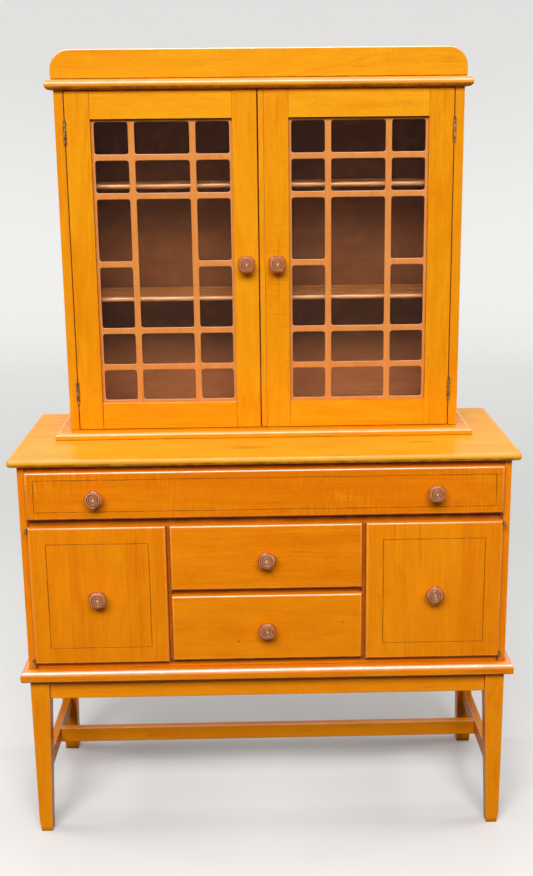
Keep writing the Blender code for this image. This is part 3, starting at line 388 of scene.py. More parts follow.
def brass(name):
    """Aged brass: tarnish broken up by rubbed spots, with fine scratches."""
    material, nodes, place = start_material(name)
    patches = nodes.noise(place, (260.0, 260.0, 180.0), 4.0, 0.6)
    scratches = nodes.noise(place, (2600.0, 2600.0, 300.0), 2.0, 0.6)
    bare = nodes.most(nodes.ramp(patches, 0.42, 0.68), nodes.times(nodes.mark("worn"), 0.8))
    base = nodes.mix(bare, paint("brass_dark"), paint("brass_light"))
    nodes.shade({"Base Color": base, "Roughness": nodes.ramp(bare, 0.0, 1.0, 0.55, 0.30), "Metallic": 1.0})
    nodes.shade({"Normal": nodes.bump(scratches, 0.2, 0.0001)})
    return material


def glass_material(name):
    """Old window glass, a little wavy."""
    material, nodes, place = start_material(name)
    waves = nodes.noise(place, (9.0, 9.0, 14.0), 1.0)
    nodes.shade({"Base Color": paint("glass"), "Transmission Weight": 1.0, "IOR": 1.17, "Roughness": 0.0})
    nodes.shade({"Normal": nodes.bump(waves, 0.12, 0.001)})
    return material


def add_marks(bm):
    """The layers that carry a piece's rubbed, polished and waxed faces, and its painted shade, to its material."""
    for layer in ("worn", "polish", "grime"):
        bm.faces.layers.float.new(layer)
    bm.verts.layers.float.new("dusk")
    return bm


def plank(low, high):
    """A squared board between two corners."""
    low, high = Vector(low), Vector(high)
    bm = add_marks(bmesh.new())
    fit = Matrix.Translation((low + high) / 2) @ Matrix.Diagonal((*(high - low), 1.0))
    bmesh.ops.create_cube(bm, size=1.0, matrix=fit)
    return bm


def corner_lines(bm, box, names):
    """The edges where two named sides of the box meet, such as "front top"."""
    found = []
    for name in names:
        wanted = [(axis, box[end][axis]) for axis, end in (SIDES[word] for word in name.split())]
        for edge in bm.edges:
            if all(abs(vert.co[axis] - value) < TINY for vert in edge.verts for axis, value in wanted):
                found.append(edge)
    return found


def nose_lines(height):
    return [f"{side} {height}" for side in ("front", "left", "right")]


def round_over(bm, geometry, radius, segments, affect="EDGES"):
    """Rounds edges, or the corners of flat outlines, and returns the new faces."""
    shape = {"offset_type": "OFFSET", "profile": 0.5, "clamp_overlap": True, "material": -1}
    return bmesh.ops.bevel(bm, geom=geometry, offset=radius, segments=segments, affect=affect, **shape)["faces"]


def cut(bm, axis, place, outwards=1.0, **options):
    """Cuts the mesh straight across an axis."""
    point, normal = (UNIT[axis] * value for value in (place, outwards))
    geometry = bm.verts[:] + bm.edges[:] + bm.faces[:]
    bmesh.ops.bisect_plane(bm, geom=geometry, dist=TINY, plane_co=point, plane_no=normal, **options)


def thicken(bm, faces, step):
    """Draws flat faces out by a step."""
    grown = bmesh.ops.extrude_face_region(bm, geom=faces, use_keep_orig=True)
    moved = [item for item in grown["geom"] if isinstance(item, bmesh.types.BMVert)]
    bmesh.ops.translate(bm, vec=step, verts=moved)


def mark(bm, faces, *layers, value=1.0):
    for layer in layers:
        key = bm.faces.layers.float[layer]
        for face in faces:
            if face.is_valid:
                face[key] = value


def darken_band(bm, axis, start, end, value=1.0, behind=0.0):
    """Darkens a band, full at start and fading towards end: painted shade under and beside proud parts, and dirt at the
    feet. behind is how far it also goes back.
    """
    cut(bm, axis, start)
    cut(bm, axis, end)
    index, key = "XYZ".index(axis), bm.verts.layers.float["dusk"]
    limit = 1.0 + behind / abs(end - start) + 1e-3
    for vert in bm.verts:
        share = (end - vert.co[index]) / (end - start)
        if 0.0 < share < limit:
            vert[key] = max(vert[key], value * min(share, 1.0))


def settle_wear_and_shade(bm):
    """Hands polish what faces up, much less what faces sideways; faces turned down lose their polish and take painted
    shade.
    """
    polish, grime = (bm.faces.layers.float.get(layer) for layer in ("polish", "grime"))
    for face in bm.faces if polish else ():
        if face[polish] and face.normal.z < -0.30:
            face[polish], face[grime] = 0.0, max(face[grime], 0.75)
        elif face[polish] and face.normal.z < 0.20:
            face[polish] = 0.25


def ease(bm, width, segments=2, angle=50.0, polish=1.0):
    """Rounds every edge that is still sharp, and marks it as rubbed."""
    keen = math.radians(angle)
    sharp = [edge for edge in bm.edges if len(edge.link_faces) == 2 and edge.calc_face_angle(0.0) > keen]
    rounded = round_over(bm, sharp, width, segments)
    mark(bm, rounded, "worn")
    mark(bm, rounded, "polish", value=polish)


def link_mesh(name, bm, material):
    mesh = bpy.data.meshes.new(name)
    bm.to_mesh(mesh)
    bm.free()
    mesh.materials.append(material)
    mesh.shade_smooth()
    made = bpy.data.objects.new(name, mesh)
    bpy.context.scene.collection.objects.link(made)
    return made


def finish_piece(name, bm, material, body, slot, *nodes, flat=35.0):
    """Makes the piece, shades it, and seats it on its body in place of its CAD nodes."""
    bmesh.ops.recalc_face_normals(bm, faces=bm.faces)
    settle_wear_and_shade(bm)
    piece = link_mesh(name, bm, material)
    piece.data.set_sharp_from_angle(angle=math.radians(flat))
    weigh = piece.modifiers.new("flat faces stay flat", "WEIGHTED_NORMAL")
    weigh.keep_sharp = True
    weigh.weight = 90
    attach(piece, body)
    if nodes:
        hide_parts(*nodes)


def finish_wood(name, bm, kind, box, along, body, node, slot=None, **look):
    material = wood(name, kind, box, along, **look)
    finish_piece(name, bm, material, body, slot or SLOTS.get(kind, "maple"), node)


def finish_brass(name, bm, body, *nodes):
    finish_piece(name, bm, brass(name), body, "antique_brass", *nodes)


def board(node, along, rounds=(), darkened=(), body=CASE, kind="honey", ease_width=None, polish=1.0, **look):
    """A board of a CAD node's own size. rounds lists (edge names, radius, segments), soiled what soil() takes."""
    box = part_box(node)
    bm = plank(*box)
    for names, radius, segments in rounds:
        rounded = round_over(bm, corner_lines(bm, box, names), radius, segments)
        mark(bm, rounded, "polish", value=polish)
    ease(bm, ease_width or bpy.context.scene.hutch_sizes.edge_ease, polish=polish)
    for band in darkened:
        darken_band(bm, *band)
    if kind == "inside":
        # the painted shade is on the face that shows, not on the one behind
        for vert in bm.verts:
            if vert.co.y > box[1].y - 0.003:
                vert[bm.verts.layers.float["dusk"]] = 0.0
    finish_wood(f"{node}_board", bm, kind, box, along, body, node, **look)


def build_leg(node, side, end):
    """A square leg whose two inner faces taper below the apron, with a toe cut in on its outer face."""
    sizes = bpy.context.scene.hutch_sizes
    low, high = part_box(node)
    bm = plank(low, high)
    apron_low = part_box("apron_front")[0].z
    cut(bm, "Z", apron_low)
    cut(bm, "Z", sizes.toe_height)
    outer = (high.x if side > 0 else low.x, low.y if end < 0 else high.y)
    foot, toe = (sizes.foot_size, sizes.toe_chamfer) if end < 0 else (sizes.rear_foot_width, sizes.rear_toe_chamfer)
    for vert in bm.verts:
        drop = max(0.0, 1.0 - vert.co.z / apron_low)
        for axis, narrow in enumerate((foot, sizes.foot_size)):
            share = 1.0 - drop * (1.0 - narrow / (high.x - low.x))
            vert.co[axis] = outer[axis] + (vert.co[axis] - outer[axis]) * share
        if vert.co.z < TINY and abs(vert.co.x - outer[0]) < TINY:
            vert.co.x -= side * toe
    ease(bm, 0.0016, 3, 30.0)
    darken_band(bm, "Z", 0.0, 0.012, 0.7)
    # painted light: the legs are painted lighter, to make up for the lamps lighting them less low down
    finish_wood(f"{node}_turned_square", bm, "honey", (low, high), "Z", CASE, node, rubbed=0.6, shade=0.25)


def build_side_stretcher(node):
    """Its ends are cut to the slope of the legs' inner faces."""
    low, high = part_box(node)
    bm = plank(low, high)
    leg_low, leg_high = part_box("leg_front_left")
    taper = leg_high.x - leg_low.x - bpy.context.scene.hutch_sizes.foot_size
    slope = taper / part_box("apron_front")[0].z
    for vert in bm.verts:
        if vert.co.z > (low.z + high.z) / 2:
            vert.co.y += math.copysign(slope * (high.z - low.z), -(vert.co.y - (low.y + high.y) / 2))
    ease(bm, 0.0016, 2)
    finish_wood(f"{node}_rail", bm, "honey", (low, high), "Y", CASE, node)


def scribe(bm, face_y, inset, radius):
    """Cuts a V line round a front, a little uneven, as it was scribed by hand and has chipped since."""
    sizes = bpy.context.scene.hutch_sizes
    front = [face for face in bm.faces if all(abs(vert.co.y - face_y) < TINY for vert in face.verts)]
    half = sizes.groove_width / 2
    bmesh.ops.inset_region(bm, faces=front, thickness=inset - radius - half, use_even_offset=True)
    for depth in (-sizes.groove_depth, sizes.groove_depth):
        ring = bmesh.ops.inset_region(bm, faces=front, thickness=half, depth=depth, use_even_offset=True)
        mark(bm, ring["faces"], "grime", value=0.7)
    key = bm.faces.layers.float["grime"]
    grooved = (edge for edge in bm.edges if any(face[key] > 0.5 for face in edge.link_faces))
    long_lines = [edge for edge in grooved if edge.calc_length() > 0.02]
    bmesh.ops.subdivide_edges(bm, edges=long_lines, cuts=60, use_grid_fill=True)
    noise.seed_set(WANDER_SEED)
    for vert in {vert for face in bm.faces if face[key] > 0.5 for vert in face.verts}:
        wander = noise.noise_vector(vert.co * 90.0) * 0.0003 + noise.noise_vector(vert.co * 23.0) * 0.0004
        vert.co.x += wander.x
        vert.co.z += wander.z


def slab_front(node, body, along, groove=0.0, **look):
    """A solid door or drawer front with softly rounded front edges."""
    sizes = bpy.context.scene.hutch_sizes
    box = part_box(node)
    bm = plank(*box)
    lines = [[f"{face} {side}" for side in ("top", "foot", "left", "right")] for face in ("front", "back")]
    mark(bm, round_over(bm, corner_lines(bm, box, lines[0]), sizes.front_round, 6), "worn", "polish")
    if groove:
        scribe(bm, box[0].y, groove, sizes.front_round)
    mark(bm, round_over(bm, corner_lines(bm, box, lines[1]), sizes.edge_ease, 2), "worn")
    finish_wood(f"{node}_slab", bm, "honey", box, along, body, node, rubbed=0.4, **look)


def dovetail_edge(y, lap, low, high, count):
    """Points down the end of a drawer side, from high to low, whose tails reach lap towards the front."""
    pitch = (high - low) / count
    steps = ((0.14, 0), (0.06, 1), (0.86 + 0.08, 1), (0.86, 0))
    return [(y - lap * out, high - index * pitch - share * pitch) for index in range(count) for share, out in steps]


def extrude_outline(bm, points, low, high):
    """A closed outline of (y, z), drawn out along X."""
    face = bm.faces.new([bm.verts.new((low, y, z)) for y, z in points])
    thicken(bm, [face], (high - low, 0.0, 0.0))


def build_drawer_box(node, body):
    """Sides, ends and bottom, with lapped dovetails where the sides meet the front end."""
    sizes = bpy.context.scene.hutch_sizes
    low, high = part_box(node)
    side, floor = sizes.box_side, low.z + sizes.box_bottom
    walls = [sorted((outer, outer - sign * side)) for outer, sign in ((low.x, -1), (high.x, 1))]
    left, right, front = low.x + side + TOUCH, high.x - side - TOUCH, low.y + side
    tails = dovetail_edge(front, side * 0.7, low.z, high.z, max(2, round((high.z - low.z) / 0.032)))
    members = []
    for (hand, _), wall in zip(HANDS, walls):
        bm = add_marks(bmesh.new())
        outline = [(front, high.z), *tails, (front, low.z), (high.y, low.z), (high.y, high.z)]
        extrude_outline(bm, outline, *wall)
        members.append((f"side_{hand}", bm, "Y"))
    members += [
        ("front_end", plank((left, low.y, low.z), (right, front - TOUCH, high.z)), "X"),
        ("back_end", plank((left, high.y - side, floor), (right, high.y, high.z)), "X"),
        ("bottom", plank((left, front + TOUCH, low.z + TOUCH), (right, high.y, floor - TOUCH)), "X"),
    ]
    look = {"curl": 0.0, "gloss": 0.5}
    for label, bm, along in members:
        ease(bm, 0.0004, 1)
        finish_wood(f"{node}_{label}", bm, "inside", (low, high), along, body, node, rubbed=0.2, **look)
    pins = add_marks(bmesh.new())
    rim = front - TOUCH
    outline = [(low.y, high.z), (rim, high.z), *((y - TOUCH, z) for y, z in tails), (rim, low.z), (low.y, low.z)]
    for wall in walls:
        extrude_outline(pins, outline, *wall)
    finish_wood(f"{node}_pins", pins, "inside", (low, high), "X", body, node, rubbed=0.0, **look)


def door_members(node, body, side):
    """Cuts the rebated frame along its joint lines into two stiles and two rails, and eases each."""
    sizes = bpy.context.scene.hutch_sizes
    low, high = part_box(node)
    left, right = low.x + sizes.stile_width, high.x - sizes.stile_width
    between = [("X", left, -1), ("X", right, 1)]
    top, foot = high.z - sizes.top_rail_width - 0.02, low.z + sizes.bottom_rail_width + 0.02
    stiles = ("hanging_stile", "meeting_stile")[::-side]
    members = {
        stiles[0]: ("Z", [("X", left, 1)]),
        stiles[1]: ("Z", [("X", right, -1)]),
        "top_rail": ("X", [*between, ("Z", top, -1)]),
        "bottom_rail": ("X", [*between, ("Z", foot, 1)]),
    }
    for label, (along, cuts) in members.items():
        bm = bmesh.new()
        bm.from_mesh(frame["nodes"][node].data)
        bmesh.ops.remove_doubles(bm, verts=bm.verts, dist=1e-5)
        bmesh.ops.dissolve_limit(bm, angle_limit=math.radians(1.0), verts=bm.verts, edges=bm.edges)
        for axis, value, outwards in cuts:
            cut(bm, axis, value - outwards * JOINT_GAP, outwards, clear_outer=True)
            bmesh.ops.holes_fill(bm, edges=[edge for edge in bm.edges if edge.is_boundary])
        add_marks(bm)
        ease(bm, 0.0006, 2)
        for value in (value for axis, value, _ in cuts if axis == "X"):
            seam = [face for face in bm.faces if abs(face.calc_center_median().x - value) < 0.0008]
            mark(bm, seam, "grime", value=0.75)
            mark(bm, seam, "polish", value=0.0)
        corners = [[pick(vert.co[axis] for vert in bm.verts) for axis in range(3)] for pick in (min, max)]
        curl = 0.30 if label == "meeting_stile" and side > 0 else 0.0
        # painted light: the top rail is painted lighter and the bottom rail less so, to match how light falls on them
        shade = {"top_rail": 0.24, "bottom_rail": 0.04}.get(label, 0.0)
        look = {"curl": curl, "rubbed": 0.35, "shade": shade}
        finish_wood(f"{node}_{label}", bm, "amber", corners, along, body, node, **look)


def pane_loop(bm, x0, x1, z0, z1, y, radius=0.0):
    """The outline of one pane, with round corners."""
    middle = Vector(((x0 + x1) / 2, y, (z0 + z1) / 2))
    turn = Matrix.Rotation(math.pi / 2, 4, "X")
    fit = Matrix.Translation(middle) @ turn @ Matrix.Diagonal((x1 - x0, z1 - z0, 1.0, 1.0))
    made = bmesh.ops.create_grid(bm, x_segments=1, y_segments=1, size=0.5, matrix=fit)
    if radius:
        round_over(bm, made["verts"], radius, 8, "VERTICES")
    bmesh.ops.delete(bm, geom=bm.faces[:], context="FACES_ONLY")


def build_fretwork(node, body):
    """The pierced lattice: two narrow columns of six panes, and a wider one whose middle pane is double."""
    sizes = bpy.context.scene.hutch_sizes
    low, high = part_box(node)
    light_low, light_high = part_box(node.replace("grille", "frame"))
    middle_x, middle_z = (low.x + high.x) / 2, (low.z + high.z) / 2
    top = light_high.z - sizes.top_rail_width - middle_z
    bar, upright = sizes.bar_width / 2, sizes.upright_width / 2
    half_light = (light_high.x - light_low.x) / 2 - sizes.stile_width
    near, far = sizes.upright_offset + upright, half_light - sizes.pane_border
    inner, tall = sizes.upright_offset - upright, sizes.inner_bar - bar
    rows = [
        (sizes.outer_bar + bar, top - sizes.pane_border),
        (sizes.inner_bar + bar, sizes.outer_bar - bar),
        (bar, tall),
    ]
    panes = []
    for start, end in rows:
        for z0, z1 in ((-end, -start), (start, end)):
            panes += [(-far, -near, z0, z1), (near, far, z0, z1)]
            if start > bar:
                panes.append((-inner, inner, z0, z1))
    panes.append((-inner, inner, -tall, tall))
    bm = add_marks(bmesh.new())
    pane_loop(bm, low.x, high.x, low.z, high.z, low.y)
    for x0, x1, z0, z1 in panes:
        pane_loop(bm, middle_x + x0, middle_x + x1, middle_z + z0, middle_z + z1, low.y, sizes.pane_corner)
    bmesh.ops.triangle_fill(bm, edges=bm.edges[:], use_beauty=True, normal=(0, -1, 0))
    thicken(bm, bm.faces[:], (0, high.y - low.y, 0))
    bmesh.ops.recalc_face_normals(bm, faces=bm.faces)
    ease(bm, 0.0007, 2, 60.0)
    # painted shadow of the top rail on the fretwork's upper border
    darken_band(bm, "Z", middle_z + top - 0.002, middle_z + top - 0.009, 0.85, BEHIND)
    look = {"curl": 0.0, "rubbed": 0.7, "gloss": 0.36}
    finish_wood(f"{node}_lattice", bm, "fret", (low, high), "Z", body, node, "fretwork", **look)


# Each knob was shaped by hand. For each: its turn in degrees, its keen corner counted anticlockwise from the
# upper right one, if it has one, whether its rings wind in as a spiral, and how deep they are cut.
KNOB_SHAPES = {
    "upper_left_door_knob": (0, None, 0, 1.5),
    "upper_right_door_knob": (3, 1, 0, 1.5),
    "long_drawer_knob_left": (36, 2, 1, 1.7),
    "long_drawer_knob_right": (0, None, 0, 1.3),
    "lower_left_door_knob": (8, 1, 1, 1.2),
    "lower_right_door_knob": (37, 2, 0, 1.1),
    "centre_drawer_upper_knob": (-22, 0, 1, 1.1),
    "centre_drawer_lower_knob": (0, None, 0, 1.3),
}
KEEN_CORNER, SOFT_CORNER = 0.0226, 0.0207  # how far a knob's shaved corners reach from its middle


def knob_profile(half, length):
    """(radius, height) from the foot of the stem, out under the head, round the rim and in over the face."""
    under, neck, foot, flare = length - 0.0120, 0.0062, 0.0075, 0.0070
    points = [(neck + (foot - neck) * (1.0 - step / 6) ** 2, 0.0045 * (step / 6)) for step in range(7)]
    points.append((neck, under - flare))
    for share in (step / 7 for step in range(1, 8)):
        points.append((neck + (half - 0.0016 - neck) * share, under - flare + flare * share**1.6))
    reach, rise = 0.0030, 0.0046
    for angle in (math.radians(-62 + 148 * step / 10) for step in range(11)):
        points.append((half - reach + reach * math.cos(angle), under + rise + rise * math.sin(angle)))
    start = points[-1][0]
    return points + [(start * (1.0 - step / 40), length) for step in range(1, 41)]


def spun(bm, profile, centre, steps):
    """Spins a half profile of (radius, height) round an upright axis and merges its poles."""
    verts = [bm.verts.new((centre.x + radius, centre.y, centre.z + height)) for radius, height in profile]
    geometry = verts + [bm.edges.new(pair) for pair in zip(verts, verts[1:])]
    whole = {"angle": math.tau, "steps": steps, "use_merge": True}
    bmesh.ops.spin(bm, geom=geometry, cent=centre, axis=(0, 0, 1), **whole)
    bmesh.ops.remove_doubles(bm, verts=bm.verts, dist=TINY)


def clamp(value):
    return min(max(value, 0.0), 1.0)


def build_knob(node, body):
    """Turned, shaved flat on four sides, and its face carved with rings round a button."""
    sizes = bpy.context.scene.hutch_sizes
    turn, keen, spiral, depth = KNOB_SHAPES[node]
    low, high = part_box(node)
    half, length = sizes.knob_width / 2, sizes.knob_length
    bm = bmesh.new()
    spun(bm, knob_profile(half, length), Vector(), 96)
    bmesh.ops.holes_fill(bm, edges=[edge for edge in bm.edges if edge.is_boundary])
    button, rim = 0.0042, half - 0.0036
    core, pitch = button * 0.6, (rim - button) / 3.0
    carved, rings = bm.verts.layers.float.new("carved"), bm.verts.layers.float.new("face")
    seed = Vector((turn * 0.37 + 3.1, spiral * 5.3, depth * 7.7))
    for vert in bm.verts:
        radius = math.hypot(vert.co.x, vert.co.y)
        angle = math.atan2(vert.co.y, vert.co.x) % math.tau
        face = clamp((vert.co.z - (length - 0.0022)) / 0.0012)
        around = Vector((math.cos(angle), math.sin(angle), radius * 120.0))
        wobble = noise.noise(around * 1.7 + seed)
        phase = (radius - button + wobble * 0.0006) / pitch - spiral * angle / math.tau
        inside = 1.0 - clamp((radius - rim) / 0.0012)
        outside = clamp((radius - core) / 0.0016)
        wave = 0.5 - 0.5 * math.cos(math.tau * phase)
        groove = (1.0 - wave) ** 1.2 * inside * outside if core < radius <= rim else 0.0
        crown = 0.0022 * (min(radius / half, 1.0)) ** 2
        vert[carved], vert[rings] = groove * face, inside * face
        vert.co.z -= face * (crown + groove * 0.0011 * depth)
        vert.co.z -= face * 0.0003 * (1.0 + noise.noise(around * 3.1 + seed)) * 0.5
        # the stem stays round, the head is shaved to a rounded square
        if radius > (0.0095 if vert.co.z < length - 0.014 else 0.0):
            reach = KEEN_CORNER if int(angle / (math.pi / 2)) % 4 == keen else SOFT_CORNER
            flat = half / max(abs(math.cos(angle)), abs(math.sin(angle)))
            spread = flat + (reach - flat) * clamp((flat - reach) / 0.0008 + 0.5)
            scale = 1.0 + (spread / half - 1.0) * clamp((radius - (rim - 0.003)) / 0.006)
            vert.co.x *= scale
            vert.co.y *= scale
    middle = (low + high) / 2
    facing = Matrix.Rotation(math.pi / 2, 4, "X") @ Matrix.Rotation(math.radians(turn), 4, "Z")
    seat = Matrix.Translation((middle.x, high.y, middle.z))
    bmesh.ops.transform(bm, matrix=seat @ facing, verts=bm.verts)
    name = f"{node}_carved"
    finish_piece(name, bm, knob_wood(name), body, "knob_wood", node, flat=60.0)


def butt_profile(half):
    """Half profile of a barrel in five knuckles, with a ball on a short neck at each end."""
    ball, neck, seam = 0.0026, 0.0015, 0.00022
    angles = [math.pi * step / 9 for step in range(1, 9)]
    points = [(0.0, -half - ball * 1.8)]
    points += [(ball * math.sin(angle), -half - ball * 0.8 - ball * math.cos(angle)) for angle in angles[:7]]
    points.append((neck, -half))
    for knuckle in range(5):
        start = -half + knuckle * half * 2 / 5
        end = start + half * 2 / 5
        points += [(BARREL - seam * 2, start + seam * 0.2), (BARREL, start + seam * 1.6)]
        points += [(BARREL, end - seam * 1.6), (BARREL - seam * 2, end - seam * 0.2)]
    points.append((neck, half))
    points += [(ball * math.sin(angle), half + ball * 0.8 - ball * math.cos(angle)) for angle in angles[1:]]
    return points + [(0.0, half + ball * 1.8)]


def hinge_centre(low, high):
    return Vector(((low.x + high.x) / 2, low.y + BARREL, (low.z + high.z) / 2))


def build_butt_hinge(node, hand, side):
    """A ball-tipped barrel, the leaf let into the case, and the leaf on the door."""
    low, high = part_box(node)
    centre, half = hinge_centre(low, high), 0.022
    bm = add_marks(bmesh.new())
    spun(bm, butt_profile(half), centre, 32)
    finish_brass(f"{node}_barrel", bm, CASE, node)
    leaves = (
        ("leaf", 0.0007, 0.0019, 0.001, CASE, (node,)),
        ("door_leaf", -0.0019, -0.0005, BARREL + 0.0002, f"upper_{hand}_door", ()),
    )
    for label, near, far, front, body, nodes in leaves:
        x0, x1 = sorted((side * (abs(centre.x) + near), side * (abs(centre.x) + far)))
        leaf = plank((x0, centre.y + front, centre.z - half), (x1, high.y, centre.z + half))
        ease(leaf, 0.0002, 1)
        finish_brass(f"{node}_{label}", leaf, body, *nodes)


def build_pivot_hinge(node):
    """A short knuckle at the door's corner, on an arm let into the case's edge."""
    low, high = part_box(node)
    centre, half, bevel = hinge_centre(low, high), (high.z - low.z) / 2, 0.0008
    profile = [(0.0, -half)]
    for start, end in ((-half, -0.0002), (0.0002, half)):
        profile += [(BARREL - bevel, start), (BARREL, start + bevel), (BARREL, end - bevel), (BARREL - bevel, end)]
    bm = add_marks(bmesh.new())
    spun(bm, [*profile, (0.0, half)], centre, 32)
    finish_brass(f"{node}_knuckle", bm, CASE, node)
    arm = plank((centre.x - 0.001, centre.y + 0.001, centre.z - 0.004), (centre.x + 0.001, high.y, centre.z + 0.004))
    ease(arm, 0.0003, 1)
    finish_brass(f"{node}_arm", arm, CASE, node)


class HUTCH_OT_leg_frame(bpy.types.Operator):
    """Four tapered legs, the aprons between them, and the H of stretchers"""

    bl_idname = "hutch.leg_frame"
    bl_label = "Leg Frame"

    def execute(self, context):
        # painted light: the aprons and the stretcher are painted lighter, to make up for the lamps lighting them less
        # low down
        for hand, side in HANDS:
            build_leg(f"leg_front_{hand}", side, -1)
            build_leg(f"leg_rear_{hand}", side, 1)
            board(f"apron_{hand}", "Y", shade=0.2)
            build_side_stretcher(f"side_stretcher_{hand}")
        board("apron_front", "X", shade=0.2)
        board("apron_rear", "X", shade=0.2)
        board("long_stretcher", "X", ease_width=0.0018, shade=0.3)
        return {"FINISHED"}


class HUTCH_OT_base_case(bpy.types.Operator):
    """The buffet's case: waist moulding, sides, back, floor, partitions and rails"""

    bl_idname = "hutch.base_case"
    bl_label = "Base Case"

    def execute(self, context):
        sizes = context.scene.hutch_sizes
        noses = [(nose_lines("top"), sizes.waist_nose, 10), (nose_lines("foot"), sizes.waist_under, 4)]
        board("waist_moulding", "X", noses)
        front_low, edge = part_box("long_drawer_front")[0].z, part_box("long_drawer_front")[1].x
        # painted shade on the sides' front edges, beside the doors and drawers
        for hand, side in HANDS:
            rim = [("X", side * edge, side * (edge + 0.0035), 0.9, 0.004)]
            board(f"base_side_{hand}", "Z", darkened=rim, facing="X", strips=8.5)
        board("base_back", "Z", kind="inside", gloss=0.5, strips=7.0)
        # painted shadows: under the doors, under the long drawer, and under the countertop's nose
        case_top, floor_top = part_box("base_top_rail")[1].z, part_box("base_bottom")[1].z
        shadow = [("Z", floor_top - 0.009, floor_top - 0.019, 0.9, BEHIND)]
        board("base_bottom", "X", darkened=shadow, facing="Z", strips=8.0)
        shadow = [("Z", front_low - 0.0072, front_low - 0.0255, 1.0, BEHIND)]
        board("drawer_web", "X", darkened=shadow, facing="Z", strips=8.0)
        board("base_top_rail", "X", darkened=[("Z", case_top - 0.004, case_top - 0.018, 1.0, BEHIND)])
        self.build_centre_bay()
        return {"FINISHED"}

    def build_centre_bay(self):
        """Two partitions with the web between the centre drawers."""
        low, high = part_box("centre_bay")
        box_low, box_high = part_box("centre_drawer_upper_box")
        drawer_low, drawer_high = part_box("centre_drawer_upper_front")
        inner, web_top = box_high.x + 0.0015, box_low.z - 0.0003
        door_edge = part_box("lower_right_door")[0].x
        spans = (
            ("partition_left", -1, low, Vector((-inner, high.y, high.z))),
            ("partition_right", 1, Vector((inner, low.y, low.z)), high),
            ("web", 0, (-inner + TOUCH, low.y, web_top - 0.018), (inner - TOUCH, high.y, web_top)),
        )
        for label, side, start, end in spans:
            bm = plank(start, end)
            ease(bm, 0.0008)
            # painted shade beside the doors and drawers on the partitions, and under the upper drawer on the web
            if side:
                for place, inwards in ((door_edge, 1), (drawer_high.x, -1)):
                    darken_band(bm, "X", side * place, side * (place - inwards * 0.0055), 0.95, BEHIND)
            else:
                darken_band(bm, "Z", drawer_low.z - 0.0062, drawer_low.z - 0.0200, 0.9, BEHIND)
            along, facing = ("Z", "X") if side else ("X", "Z")
            name = f"centre_bay_{label}"
            finish_wood(name, bm, "honey", (start, end), along, CASE, "centre_bay", facing=facing)


class HUTCH_OT_countertop(bpy.types.Operator):
    """The countertop, with a full round nose at the front and both ends"""

    bl_idname = "hutch.countertop"
    bl_label = "Countertop"

    def execute(self, context):
        sizes = context.scene.hutch_sizes
        corners = [(("front left", "front right"), sizes.counter_corner, 6)]
        stains = [
            ((0.353, -0.100, 0.893), (0.042, 0.010, 0.02), 0.28),
            ((-0.038, -0.129, 0.893), (0.055, 0.014, 0.02), 0.26),
        ]
        look = {"facing": "Z", "gloss": 0.30, "strips": 9.0, "shine": 0.06, "stains": stains}
        board("countertop", "X", corners, kind="top", ease_width=sizes.counter_nose, polish=0.3, **look)
        return {"FINISHED"}


class HUTCH_OT_drawers(bpy.types.Operator):
    """The long drawer and the two centre drawers, with their dovetailed boxes"""

    bl_idname = "hutch.drawers"
    bl_label = "Drawers"

    def execute(self, context):
        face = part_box("centre_drawer_lower_front")[0].y
        stains = [
            ((-0.063, face, 0.470), (0.0028, 0.01, 0.0028), 0.8),
            ((0.166, face, 0.511), (0.0045, 0.01, 0.0016), 0.7),
        ]
        looks = {
            "long_drawer": {"groove": context.scene.hutch_sizes.drawer_groove, "curl": 0.60, "shade": -0.25},
            "centre_drawer_upper": {"curl": 0.03},
            "centre_drawer_lower": {"curl": 0.03, "stains": stains},
        }
        for body, look in looks.items():
            slab_front(f"{body}_front", body, "X", **look)
            build_drawer_box(f"{body}_box", body)
        return {"FINISHED"}


class HUTCH_OT_base_doors(bpy.types.Operator):
    """The base's two solid doors, each with a scribed line and its pivot hinges"""

    bl_idname = "hutch.base_doors"
    bl_label = "Base Doors"

    def execute(self, context):
        for hand, _ in HANDS:
            body = f"lower_{hand}_door"
            slab_front(body, body, "Z", context.scene.hutch_sizes.door_groove, strips=8.0)
            for end in ENDS:
                build_pivot_hinge(f"pivot_hinge_{end}_{hand}")
        return {"FINISHED"}


class HUTCH_OT_china_case(bpy.types.Operator):
    """The china top's case: its floor board, sides, back, shelves, cornice and gallery"""

    bl_idname = "hutch.china_case"
    bl_label = "China Case"

    def execute(self, context):
        sizes = context.scene.hutch_sizes
        board("plinth_board", "X", [(nose_lines("top"), sizes.plinth_nose, 8)], kind="amber", polish=0.5)
        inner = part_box("upper_side_right")[0].x
        # painted shade on the sides' inner edges, in the gap beside the doors
        for hand, side in HANDS:
            dark = [("X", side * (inner + 0.0002), side * (inner + 0.004), 0.2, 0.001)]
            board(f"upper_side_{hand}", "Z", darkened=dark, kind="amber", facing="X", shade=-0.1)
        # painted shade: the panel is painted darkest under each shelf and through the top space, where shade falls
        low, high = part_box("shelf_lower")[0].z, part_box("shelf_upper")[0].z
        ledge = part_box("shelf_upper")[1].z
        dark = [("Z", low - 0.10, low - 0.20, 0.95, 0.11), ("Z", high, high - 0.16, 0.95)]
        dark.append(("Z", ledge, ledge - 0.002, 1.0, 0.3))
        board("upper_back", "X", darkened=dark, kind="inside", gloss=0.45)
        for label, under in (("lower", low), ("upper", high)):
            noses = [(("front top", "front foot"), sizes.shelf_nose, 6)]
            # painted shade along the bottom of each shelf's front edge
            dark = [("Z", under + 0.0001, under + 0.003, 0.6, 0.001)]
            board(f"shelf_{label}", "X", noses, dark, kind="fret", facing="Z", strips=8.0, shade=0.4)
        noses = nose_lines("top") + nose_lines("foot")
        board("cornice", "X", [(noses, sizes.cornice_nose, 10)], kind="amber", polish=0.55)
        corners = [(("left top", "right top"), sizes.gallery_corner, 20)]
        board("gallery_board", "X", corners, ease_width=0.002, kind="amber")
        return {"FINISHED"}


